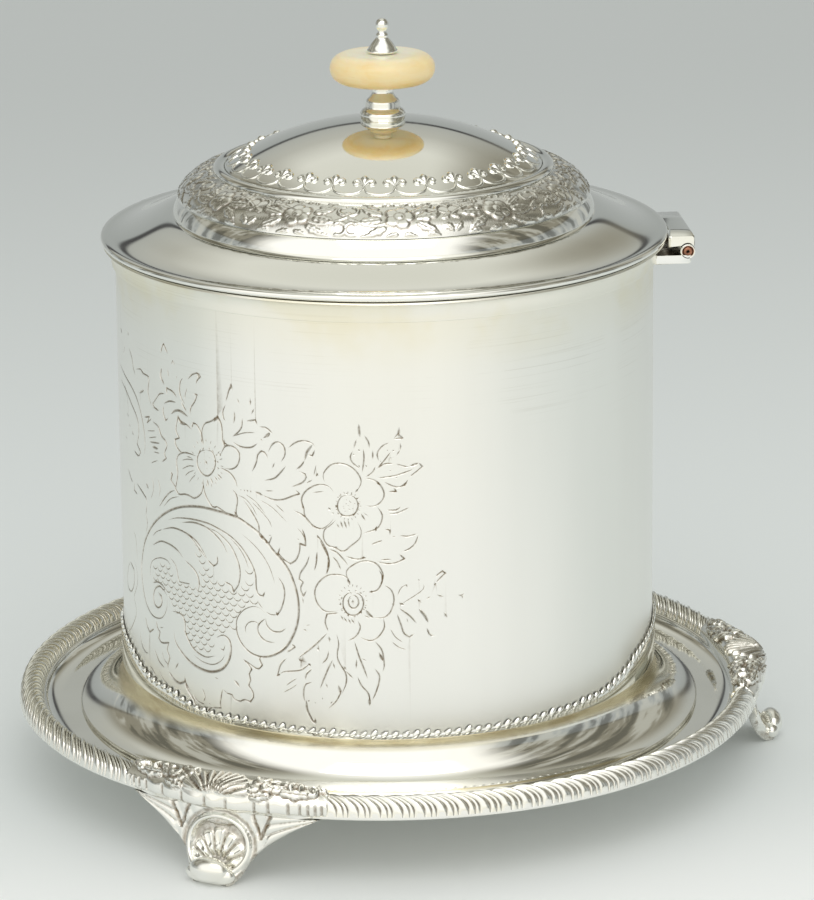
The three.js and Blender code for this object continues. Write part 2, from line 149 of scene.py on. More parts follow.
def mesh_of(name, points, faces):
    mesh = bpy.data.meshes.new(name)
    mesh.from_pydata(points.tolist(), [], [tuple(int(i) for i in f) for f in faces])
    return mesh


def new_mesh(name, points, faces):
    """A mesh from millimetre points about the drum's axis."""
    return mesh_of(name, place(points), faces)


def new_object(name, data):
    obj = bpy.data.objects.new(name, data)
    bpy.context.scene.collection.objects.link(obj)
    return obj


def mark_recess(mesh, values):
    """Stores how dark each point is, 0 to 1, for the finishes to read."""
    mark = mesh.attributes.new("recess", "FLOAT", "POINT")
    mark.data.foreach_set("value", np.asarray(values, np.float32))


def evaluated_mesh(obj):
    """The object's mesh as its modifiers leave it."""
    bpy.context.view_layer.update()
    evaluated = obj.evaluated_get(bpy.context.evaluated_depsgraph_get())
    return bpy.data.meshes.new_from_object(evaluated)


def tidy_mesh(mesh, weld=1e-6):
    """Merges doubles and turns the faces outwards."""
    bm = bmesh.new()
    bm.from_mesh(mesh)
    bmesh.ops.remove_doubles(bm, verts=bm.verts, dist=weld)
    bmesh.ops.dissolve_degenerate(bm, edges=bm.edges, dist=weld / 10)
    bmesh.ops.recalc_face_normals(bm, faces=bm.faces)
    bm.to_mesh(mesh)
    bm.free()


def settle(obj, body, nodes=(), crease=38):
    """Shades a finished piece, hangs it on its body's empty, and hides the CAD nodes that it stands
    for.
    """
    if crease is not None:
        obj.data.shade_smooth()
        obj.data.set_sharp_from_angle(angle=math.radians(crease))
    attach(obj, body)
    if nodes:
        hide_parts(*nodes)
    return obj


def new_piece(name, points, faces, material, body, nodes=(), crease=38, recess=None):
    mesh = new_mesh(name, points, faces)
    if recess is not None:
        mark_recess(mesh, recess)
    tidy_mesh(mesh)
    mesh.materials.append(material)
    return settle(new_object(name, mesh), body, nodes, crease)


def arc(cx, cz, rx, rz, start, end, steps):
    """Points of an elliptic arc about (cx, cz), angles in degrees."""
    a = np.radians(np.linspace(start, end, steps + 1))
    return np.column_stack((cx + rx * np.cos(a), cz + rz * np.sin(a))).tolist()


def run_along(line):
    """Length from the start of a line to each of its points."""
    return np.concatenate(([0], np.cumsum(np.hypot(*np.diff(line, axis=0).T))))


def headings(line):
    """Unit direction of a line at each of its points."""
    way = np.gradient(line, axis=0)
    return way / np.maximum(np.hypot(*way.T), 1e-9)[:, None]


def curve_through(points, count):
    """Evenly spaced points of a smooth curve through the given ones."""
    p = np.array(points, float)
    p = np.vstack((2 * p[0] - p[1], p, 2 * p[-1] - p[-2]))
    out = []
    for i in range(1, len(p) - 2):
        for t in np.linspace(0, 1, 24, endpoint=False):
            a, b, c, d = p[i - 1], p[i], p[i + 1], p[i + 2]
            out.append(0.5 * (2 * b + (c - a) * t + (2 * a - 5 * b + 4 * c - d) * t * t
                              + (3 * b - 3 * c + d - a) * t ** 3))
    out.append(p[-2])
    out = np.array(out)
    run = run_along(out)
    even = np.linspace(0, run[-1], count)
    return np.column_stack([np.interp(even, run, out[:, k]) for k in (0, 1)])


def grid_faces(columns, rows, wrap_columns=False, wrap_rows=False, offset=0):
    """Faces of a grid whose points run down its rows, column by column."""
    faces = []
    for i in range(columns if wrap_columns else columns - 1):
        for j in range(rows if wrap_rows else rows - 1):
            a, b = i * rows + j, i * rows + (j + 1) % rows
            n = (i + 1) % columns * rows
            faces.append((offset + a, offset + b, offset + n + (j + 1) % rows, offset + n + j))
    return faces


def ridge(distance, half):
    """A round ridge: 1 on its line, 0 at half away."""
    return np.sqrt(np.clip(1 - (distance / half) ** 2, 0, 1))


def ease(x, low, high):
    """0 below low, 1 above high, and smooth between."""
    t = np.clip((x - low) / (high - low), 0, 1)
    return t * t * (3 - 2 * t)


def joined(*parts):
    """Several closed shells as one mesh: points, faces and recess."""
    points, faces, recess = [], [], []
    for some, these, *mark in parts:
        faces += [tuple(len(points) + i for i in f) for f in these]
        points += [tuple(q) for q in some]
        recess += list(mark[0]) if mark else [0.0] * len(some)
    return points, faces, recess


def turned_by(points, azimuth):
    """Points made at azimuth 0, turned about the axis. Degrees."""
    a = math.radians(azimuth)
    p = np.asarray(points, float)
    return np.column_stack((p[:, 0] * math.cos(a) - p[:, 1] * math.sin(a),
                            p[:, 0] * math.sin(a) + p[:, 1] * math.cos(a), p[:, 2]))


def scroll_at(x, y, cx, cy, r, start, sweep):
    """Distance from a scroll's circle, and whether the scroll sweeps past there."""
    turn = np.degrees(np.arctan2(y - cy, x - cx))
    return np.hypot(x - cx, y - cy) - r, (turn - start) % 360 < sweep


def softened(profile, radius, steps=3, angle=25):
    """Rounds the corners of a closed profile, except those on the axis."""
    pts = [np.array(p, float) for p in profile]
    out = []
    for i, p in enumerate(pts):
        before, after = pts[i - 1], pts[(i + 1) % len(pts)]
        u, v = before - p, after - p
        lu, lv = np.hypot(*u), np.hypot(*v)
        if p[0] < 1e-9 or lu < 1e-9 or lv < 1e-9:
            out.append(p)
            continue
        turn = 180 - math.degrees(math.acos(np.clip(u @ v / (lu * lv), -1, 1)))
        if turn < angle:
            out.append(p)
            continue
        cut = min(radius, 0.45 * lu, 0.45 * lv)
        a, b = p + u / lu * cut, p + v / lv * cut
        for t in np.linspace(0, 1, steps + 1):
            out.append((1 - t) ** 2 * a + 2 * t * (1 - t) * p + t * t * b)
    return [(float(p[0]), float(p[1])) for p in out]


def lathe(profile, steps=LATHE_STEPS):
    """Points and faces of a closed profile of (radius, height) turned about the axis."""
    turns = np.radians(np.arange(steps) * 360 / steps)
    points, index = [], []
    for r, z in profile:
        if r < 1e-9:
            index.append(np.full(steps, len(points)))
            points.append((0.0, 0.0, z))
        else:
            index.append(len(points) + np.arange(steps))
            points.extend(polar(r, turns, z).tolist())
    faces = []
    for here, there in zip(index, index[1:] + index[:1]):
        if here[0] == here[-1] and there[0] == there[-1]:
            continue
        for k in range(steps):
            n = (k + 1) % steps
            face = [here[k], here[n], there[n], there[k]]
            faces.append(list(dict.fromkeys(face)))
    return points, faces


def turned_piece(name, profile, material, body, nodes, soft, steps=LATHE_STEPS, crease=38):
    """A closed profile with its corners rounded to the radius soft, turned on the lathe."""
    shape = softened(profile, soft) if soft else profile
    points, faces = lathe(shape, steps)
    return new_piece(name, points, faces, material, body, nodes, crease)


# Materials

class Wiring:
    """Adds and joins nodes in one node tree, left to right."""

    def __init__(self, tree):
        self.tree = tree
        self.column = 0

    def add(self, kind, **settings):
        node = self.tree.nodes.new(kind)
        node.location = (self.column, 0)
        self.column += 190
        for key, value in settings.items():
            setattr(node, key, value)
        return node

    def join(self, source, target):
        self.tree.links.new(source, target)

    def math(self, operation, a, b=None, clamp=False):
        node = self.add("ShaderNodeMath", operation=operation, use_clamp=clamp)
        for socket, value in zip(node.inputs, (a, b)):
            if value is None:
                continue
            if isinstance(value, (int, float)):
                socket.default_value = value
            else:
                self.join(value, socket)
        return node.outputs[0]

    def times(self, a, b, clamp=False):
        return self.math("MULTIPLY", a, b, clamp)

    def plus(self, a, b, clamp=False):
        return self.math("ADD", a, b, clamp)

    def rest(self, value):
        return self.math("SUBTRACT", 1.0, value)

    def mix(self, factor, a, b):
        node = self.add("ShaderNodeMix", data_type="RGBA")
        for socket, value in ((node.inputs[0], factor), (node.inputs[6], a), (node.inputs[7], b)):
            if isinstance(value, (int, float)):
                socket.default_value = value
            elif isinstance(value, (tuple, list)):
                socket.default_value = (*value, 1.0)[:4]
            else:
                self.join(value, socket)
        return node.outputs[2]

    def noise(self, vector, scale, detail=4.0, rough=0.55, distortion=0.0):
        node = self.add("ShaderNodeTexNoise")
        node.inputs["Scale"].default_value = scale
        node.inputs["Detail"].default_value = detail
        node.inputs["Roughness"].default_value = rough
        node.inputs["Distortion"].default_value = distortion
        self.join(vector, node.inputs["Vector"])
        return node.outputs["Fac"]

    def stretch(self, vector, scale, location=(0, 0, 0), rotation=(0, 0, 0)):
        node = self.add("ShaderNodeMapping")
        node.inputs["Scale"].default_value = scale
        node.inputs["Location"].default_value = location
        node.inputs["Rotation"].default_value = rotation
        self.join(vector, node.inputs["Vector"])
        return node.outputs["Vector"]

    def band(self, value, low, high):
        """0 below low, 1 above high, and smooth between."""
        node = self.add("ShaderNodeMapRange", interpolation_type="SMOOTHSTEP")
        node.inputs["From Min"].default_value = low
        node.inputs["From Max"].default_value = high
        self.join(value, node.inputs["Value"])
        return node.outputs["Result"]

    def parts(self, vector):
        """The X, Y and Z of a vector."""
        node = self.add("ShaderNodeSeparateXYZ")
        self.join(vector, node.inputs[0])
        return node.outputs

    def seen(self, path):
        """1 for rays from the camera and for those that a mirror or glass sends on."""
        return self.math("MAXIMUM", path["Is Camera Ray"],
                         self.math("MAXIMUM", path["Is Glossy Ray"],
                                   path["Is Transmission Ray"]))

    def finish(self, colour, rough, metallic, marks=None, strength=0.0, depth=0.0):
        """Ends a material with its shader, and a bump of that depth where it has marks."""
        shader = self.add("ShaderNodeBsdfPrincipled")
        shader.inputs["Metallic"].default_value = metallic
        self.join(colour, shader.inputs["Base Color"])
        self.join(rough, shader.inputs["Roughness"])
        if marks is not None:
            bump = self.add("ShaderNodeBump")
            bump.inputs["Strength"].default_value = strength
            bump.inputs["Distance"].default_value = depth
            self.join(marks, bump.inputs["Height"])
            self.join(bump.outputs["Normal"], shader.inputs["Normal"])
        out = self.add("ShaderNodeOutputMaterial")
        self.join(shader.outputs[0], out.inputs["Surface"])
        return shader


def new_material(name):
    """An empty material, its wiring, and the coordinates of the piece that wears it."""
    mat = bpy.data.materials.new(name)
    mat.use_nodes = True
    w = Wiring(mat.node_tree)
    w.tree.nodes.clear()
    return mat, w, w.add("ShaderNodeTexCoord").outputs["Object"]


def new_group(name, inputs, outputs):
    """A shader node group with named sockets, its wiring, and the values that come in."""
    tree = bpy.data.node_groups.new(name, "ShaderNodeTree")
    for label, kind, value in inputs:
        socket = tree.interface.new_socket(label, in_out="INPUT", socket_type=kind)
        if value is not None:
            socket.default_value = value
    for label, kind in outputs:
        tree.interface.new_socket(label, in_out="OUTPUT", socket_type=kind)
    w = Wiring(tree)
    return tree, w, w.add("NodeGroupInput").outputs


def plate_wear_and_shade():
    """Tarnish, polish left in recesses, painted shade in gaps and on hidden backs, and the fine
    marks of a century of polishing.
    """
    name = "plate wear"
    if name in bpy.data.node_groups:
        return bpy.data.node_groups[name]
    tree, w, at = new_group(name, [
        ("Vector", "NodeSocketVector", None),
        ("Silver", "NodeSocketColor", (0.9, 0.9, 0.87, 1)),
        ("Tarnish", "NodeSocketColor", (0.8, 0.72, 0.5, 1)),
        ("Dirt And Shade", "NodeSocketColor", (0.2, 0.15, 0.1, 1)),
        ("Tarnish Amount", "NodeSocketFloat", 0.3),
        ("Recess", "NodeSocketFloat", 0.0),
        ("Gloss", "NodeSocketFloat", 0.1),
        ("Blur", "NodeSocketFloat", 0.15),
    ], [
        ("Colour", "NodeSocketColor"),
        ("Roughness", "NodeSocketFloat"),
        ("Height", "NodeSocketFloat"),
    ])
    cloud = w.noise(at["Vector"], 26.0, 5.0, 0.6, 0.4)
    patch = w.band(cloud, 0.50, 0.74)
    stain = w.times(patch, at["Tarnish Amount"], clamp=True)
    plated = w.mix(stain, at["Silver"], at["Tarnish"])
    speck = w.band(w.noise(at["Vector"], 900.0, 2.0, 0.5), 0.36, 0.62)
    # Where the recess mark is set the plate turns to the dark colour: old polish in the engraving's
    # cuts, darkening in the hollows of the castings and relief, and painted shade in the hinge's
    # gap and on the backs of the feet.
    dirt_and_shade = w.times(at["Recess"], w.plus(w.times(speck, 0.4), 0.6), clamp=True)
    colour = w.mix(dirt_and_shade, plated, at["Dirt And Shade"])
    smudge = w.noise(at["Vector"], 60.0, 3.0, 0.5, 0.2)
    drawn = w.stretch(at["Vector"], (14, 14, 2600), rotation=(0.02, 0.015, 0))
    hairs = w.noise(drawn, 1.0, 2.0, 0.5)
    wisps = w.times(w.band(hairs, 0.56, 0.70), w.band(smudge, 0.42, 0.62))
    spread = w.times(at["Blur"], w.band(smudge, 0.3, 0.75))
    rough = w.plus(at["Gloss"], w.plus(spread, w.times(dirt_and_shade, 0.35)), clamp=True)
    ends = w.add("NodeGroupOutput")
    for label, value in (("Colour", colour), ("Roughness", rough), ("Height", wisps)):
        w.join(value, ends.inputs[label])
    return tree


def silver_plate(name, gloss, blur, tarnish, scratch, warm=0.0, satin=False, tan_reflection_heights=None):
    """A silver finish. gloss and blur set its roughness, tarnish how much of it is yellow,
    scratch the depth of its marks and warm how far its silver leans to the tarnish. satin
    adds the drum's faint streaks and its yellowed mouth, and the last argument gives the two
    heights between which a painted reflection turns it golden tan with brown streaks, reaching
    higher on the sides."""
    if name in bpy.data.materials:
        return bpy.data.materials[name]
    c = colours()
    mat, w, coords = new_material(name)
    group = w.add("ShaderNodeGroup")
    group.node_tree = plate_wear_and_shade()
    w.join(coords, group.inputs["Vector"])
    silver = [s * (1 - warm) + t * warm for s, t in zip(c.silver, c.tarnish)]
    for label, value in (("Silver", (*silver, 1)), ("Tarnish", (*c.tarnish, 1)),
                         ("Dirt And Shade", (*c.recess, 1)), ("Tarnish Amount", tarnish),
                         ("Gloss", gloss), ("Blur", blur)):
        group.inputs[label].default_value = value
    mark = w.add("ShaderNodeAttribute", attribute_name="recess")
    w.join(mark.outputs["Fac"], group.inputs["Recess"])
    colour = group.outputs["Colour"]
    height = w.parts(coords)["Z"] if satin or tan_reflection_heights else None
    if satin:
        soft = w.noise(w.stretch(coords, (1, 1, 0.06)), 55.0, 3.0, 0.5)
        colour = w.mix(w.times(w.band(soft, 0.35, 0.7), 0.07), colour, (0.62, 0.61, 0.58))
        high = w.band(height, 0.095, 0.130)
        hairs = w.times(group.outputs["Height"], w.times(high, 0.22))
        colour = w.mix(hairs, colour, (0.50, 0.47, 0.40))
        cloud = w.band(w.noise(coords, 30.0, 4.0, 0.6), 0.44, 0.62)
        mouth = w.times(w.band(height, 0.122, 0.139), w.plus(w.times(cloud, 0.6), 0.4))
        colour = w.mix(w.times(mouth, 0.5), colour, (0.84, 0.77, 0.52))
    rough = group.outputs["Roughness"]
    # Painted reflection: from the given heights up, and higher towards the sides, the plate turns
    # golden tan with brown streaks.
    if tan_reflection_heights:
        aside = w.band(w.math("ABSOLUTE", w.parts(coords)["Y"]), 0.040, 0.075)
        tone = w.band(w.plus(height, w.times(aside, 0.0035)), *tan_reflection_heights)
        reflected_brown_streaks = w.mix(w.band(w.noise(w.stretch(coords, (1, 1, 5)), 70.0, 4.0, 0.6), 0.35, 0.7),
                      (0.88, 0.81, 0.60), (0.66, 0.57, 0.37))
        colour = w.mix(tone, colour, reflected_brown_streaks)
        rough = w.plus(rough, w.times(tone, 0.17), clamp=True)
    marks = group.outputs["Height"] if scratch else None
    w.finish(colour, rough, 1.0, marks, scratch, 0.00002)
    return mat


def satin_silver():
    return silver_plate("satin silver", 0.29, 0.0, 0.0, 0.0, satin=True)


def bright_silver():
    return silver_plate("bright silver", 0.045, 0.04, 0.10, 0.10)


# The silver with a painted tan reflection, for the skirt and the foot band.
def tan_reflection_silver():
    return silver_plate("toned silver", 0.05, 0.05, 0.12, 0.10, tan_reflection_heights=(0.0255, 0.0282))


def cast_silver():
    return silver_plate("cast silver", 0.10, 0.10, 0.14, 0.25, warm=0.03)


def band_silver():
    return silver_plate("chased silver", 0.09, 0.05, 0.08, 0.12)


def ivory():
    """Cream with fine curved grain, amber where it thins to the edge, and more amber over its lower
    half, which is painted shade.
    """
    name = "ivory-like disc"
    if name in bpy.data.materials:
        return bpy.data.materials[name]
    c = colours()
    mat, w, coords = new_material(name)
    centred = w.stretch(coords, (1, 1, 1), location=(0, -AXIS_Y * MM, 0))
    flat = w.add("ShaderNodeVectorMath", operation="LENGTH")
    w.join(w.stretch(centred, (1, 1, 0)), flat.inputs[0])
    edge = w.band(flat.outputs["Value"], 0.006, 0.0145)
    cloud = w.noise(coords, 110.0, 3.0, 0.5, 0.6)
    layers = w.stretch(coords, (60, 160, 900), rotation=(0.1, 0.15, 0.5))
    grain = w.noise(layers, 2.2, 2.0, 0.5, 0.8)
    # The lower half, which faces down, is painted more amber: painted shade.
    below = w.rest(w.band(w.parts(coords)["Z"], 0.1828, 0.1862))
    mottled = w.times(w.band(cloud, 0.4, 0.75), 0.28)
    amber = w.plus(w.times(edge, 0.68), mottled, clamp=True)
    amber = w.plus(amber, w.times(below, 0.5), clamp=True)
    colour = w.mix(amber, tuple(c.ivory), tuple(c.amber))
    colour = w.mix(w.times(w.band(grain, 0.42, 0.66), 0.10), colour, (0.98, 0.93, 0.76))
    shader = w.finish(colour, w.plus(w.times(grain, 0.12), 0.24), 0.0, grain, 0.05, 0.00004)
    shader.inputs["Subsurface Weight"].default_value = 0.35
    shader.inputs["Subsurface Radius"].default_value = (0.006, 0.0035, 0.0012)
    shader.inputs["Subsurface Scale"].default_value = 0.6
    shader.inputs["Coat Weight"].default_value = 0.25
    shader.inputs["Coat Roughness"].default_value = 0.12
    return mat


def plain_metal(name, colour, gloss, dark, scale):
    """Unplated metal with blotches of oxide and turning marks."""
    mat, w, coords = new_material(name)
    blotch = w.noise(coords, scale, 4.0, 0.6)
    marks = w.noise(w.stretch(coords, (1, 1, 12)), scale * 3, 2.0, 0.5)
    tone = w.mix(w.band(blotch, 0.4, 0.7), tuple(colour), tuple(v * dark for v in colour))
    mark = w.add("ShaderNodeAttribute", attribute_name="recess")
    tone = w.mix(mark.outputs["Fac"], tone, (0.01, 0.008, 0.006))
    w.finish(tone, w.plus(w.times(blotch, 0.3), gloss), 1.0, marks, 0.3, 0.00003)
    return mat


# Geometry Nodes

def ring_tree():
    """Repeats the modifier's own mesh, one motif, round the drum's axis."""
    name = "ring of motifs"
    if name in bpy.data.node_groups:
        return bpy.data.node_groups[name]
    tree = bpy.data.node_groups.new(name, "GeometryNodeTree")
    face = tree.interface
    face.new_socket("Geometry", in_out="INPUT", socket_type="NodeSocketGeometry")
    for label, kind in (("Count", "NodeSocketInt"), ("Start", "NodeSocketFloat"),
                        ("Pitch", "NodeSocketFloat"), ("Centre", "NodeSocketVector"),
                        ("Weld", "NodeSocketFloat"), ("Material", "NodeSocketMaterial")):
        face.new_socket(label, in_out="INPUT", socket_type=kind)
    face.new_socket("Geometry", in_out="OUTPUT", socket_type="NodeSocketGeometry")
    w = Wiring(tree)
    start, points, index, turn, spin, instance, realize, weld, paint, end = (
        w.add(kind) for kind in (
            "NodeGroupInput", "GeometryNodePoints", "GeometryNodeInputIndex", "ShaderNodeMath",
            "ShaderNodeCombineXYZ", "GeometryNodeInstanceOnPoints",
            "GeometryNodeRealizeInstances", "GeometryNodeMergeByDistance",
            "GeometryNodeSetMaterial", "NodeGroupOutput"))
    turn.operation = "MULTIPLY_ADD"
    for source, output, node, socket in (
            (start, "Count", points, "Count"), (start, "Centre", points, "Position"),
            (index, 0, turn, 0), (start, "Pitch", turn, 1), (start, "Start", turn, 2),
            (turn, 0, spin, "Z"), (points, 0, instance, "Points"),
            (start, "Geometry", instance, "Instance"), (spin, 0, instance, "Rotation"),
            (instance, 0, realize, 0), (realize, 0, weld, "Geometry"),
            (start, "Weld", weld, "Distance"), (weld, 0, paint, "Geometry"),
            (start, "Material", paint, "Material"), (paint, 0, end, 0)):
        w.join(source.outputs[output], node.inputs[socket])
    return tree


def ring_of(name, points, faces, count, start, pitch, material, recess=None, weld=1e-6):
    """Repeats a motif, given at azimuth 0, about the drum's axis. start and pitch are in
    degrees."""
    motif = mesh_of(name, np.asarray(points, float) * MM, faces)
    if recess is not None:
        mark_recess(motif, recess)
    obj = new_object(name, motif)
    tree = ring_tree()
    modifier = obj.modifiers.new("ring", "NODES")
    modifier.node_group = tree
    socket = {s.name: s.identifier for s in tree.interface.items_tree
              if s.item_type == "SOCKET" and s.in_out == "INPUT"}
    for label, value in (("Count", int(count)), ("Start", math.radians(start)),
                         ("Pitch", math.radians(pitch)), ("Centre", (0.0, AXIS_Y * MM, 0.0)),
                         ("Weld", weld), ("Material", material)):
        modifier[socket[label]] = value
    mesh = evaluated_mesh(obj)
    obj.modifiers.remove(modifier)
    obj.data = mesh
    bpy.data.meshes.remove(motif)
    mesh.name = name
    return obj


def close_ends(mesh):
    """Caps the open ends of a run and turns its faces outwards."""
    bm = bmesh.new()
    bm.from_mesh(mesh)
    edge = [e for e in bm.edges if e.is_boundary]
    if edge:
        bmesh.ops.holes_fill(bm, edges=edge, sides=0)
    bmesh.ops.recalc_face_normals(bm, faces=bm.faces)
    bm.to_mesh(mesh)
    bm.free()


# Tray and skirt

class BISCUIT_OT_tray(bpy.types.Operator):
    """Spins the tray's dish and the concave skirt that carries the drum"""
    bl_idname = "biscuit.tray"
    bl_label = "Tray and skirt"

    def execute(self, context):
        upper = arc(87.7, 19.0, 4.5, 2.4, -90, 0, 14)
        lower = arc(87.7, 18.0, 5.5, 2.4, 0, -90, 14)
        turned_piece("tray", [(0, 16.6), *upper, (TRAY_R, 19.0), (TRAY_R, 18.0), *lower, (0, 15.6)],
                     bright_silver(), "box", ["tray_dish"], 0.25)
        face = arc(82.6, 28.2, 11.4, 10.5, 270, 180, 28)
        back = arc(81.6, 28.2, 11.4, 10.5, 180, 260, 24)
        # The skirt wears the silver with the painted tan reflection.
        turned_piece("skirt", [(82.6, 16.62), *face, (71.3, 29.25), (67.4, 29.25), (67.4, 28.0),
                               (70.2, 28.0), *back, (80.6, 16.62)],
                     tan_reflection_silver(), "box", ["base_skirt"], 0.3)
        return {"FINISHED"}


# Border

# How far a lobe leans at its outer and its inner end, in pitches
LEAN_OUT, LEAN_IN = 0.6, 0.9


def gadroon_motif(pitch_deg, rows=16):
    """One big lobe and two reeds, sweeping over the border, as an open-ended slice."""
    lobe = 0.48
    centre, half, seat, crest = 95.8, 3.2, 19.05, 4.85
    cuts = [(0.5 * lobe * (1 - math.cos(x)), 1 - math.cos(x)) for x in np.linspace(0, math.pi, 11)]
    cuts = [(p, math.sqrt(max(0.0, 1 - (swing - 1) ** 2))) for p, swing in cuts]
    start = lobe
    for reed in (0.31, 0.21):
        cuts += [(start + reed * share, 0.8 * math.sqrt(1 - (2 * share - 1) ** 2))
                 for share in (0.06, 0.22, 0.5, 0.78, 0.94, 1)]
        start += reed
    points, recess = [], []
    for p, rise in cuts:
        for row in range(rows + 1):
            theta = math.pi * row / rows
            swell = math.sin(theta) ** 0.6
            grown = 1 - 0.27 * (1 - rise) * swell
            r = centre + half * math.cos(theta) * grown
            z = seat + crest * math.sin(theta) * grown
            lean = LEAN_OUT - (LEAN_OUT + LEAN_IN) * float(ease(row / rows, 0.1, 0.85))
            a = math.radians((p + lean) * pitch_deg)
            points.append((r * math.cos(a), r * math.sin(a), z))
            recess.append(min(1.0, 1.5 * max(0.0, 1 - rise / 0.62)) * min(1.0, 1.4 * swell))
        for share in (0.33, 0.67):
            r = centre - half + 2 * half * share
            a = math.radians((p - LEAN_IN + (LEAN_OUT + LEAN_IN) * share) * pitch_deg)
            points.append((r * math.cos(a), r * math.sin(a), seat))
            recess.append(0.6)
    ring = rows + 3
    return points, grid_faces(len(cuts), ring, wrap_rows=True), recess


class BISCUIT_OT_border(bpy.types.Operator):
    """Repeats the leaning gadroon round the tray's flange, in three runs"""
    bl_idname = "biscuit.border"
    bl_label = "Gadroon border"

    def execute(self, context):
        gap = 11.6
        length = 360 / len(FOOT_AZIMUTHS) - 2 * gap
        slant = LEAN_OUT + LEAN_IN
        count = round(math.radians(length) * BORDER_R * MM / sizes().gadroon_pitch - slant)
        pitch = length / (count + slant)
        points, faces, recess = gadroon_motif(pitch)
        for i, foot in enumerate(FOOT_AZIMUTHS):
            start = foot + gap + LEAN_IN * pitch
            run = ring_of(f"gadroon_run_{i + 1}", points, faces, count, start, pitch,
                          cast_silver(), recess)
            close_ends(run.data)
            settle(run, "box", [f"gadroon_border_{i + 1}"], 50)
        turned_piece("border_roll", arc(92.35, 19.15, 0.6, 0.6, 0, 330, 11), bright_silver(),
                     "box", (), 0)
        return {"FINISHED"}


# Drum

# Each cut of the engraving runs through points, given as length round the drum from its
# front and height, one after the other. t is a thin cut, n a plain one and b a bold one.
# The same cuts are mirrored on the other side of the front.

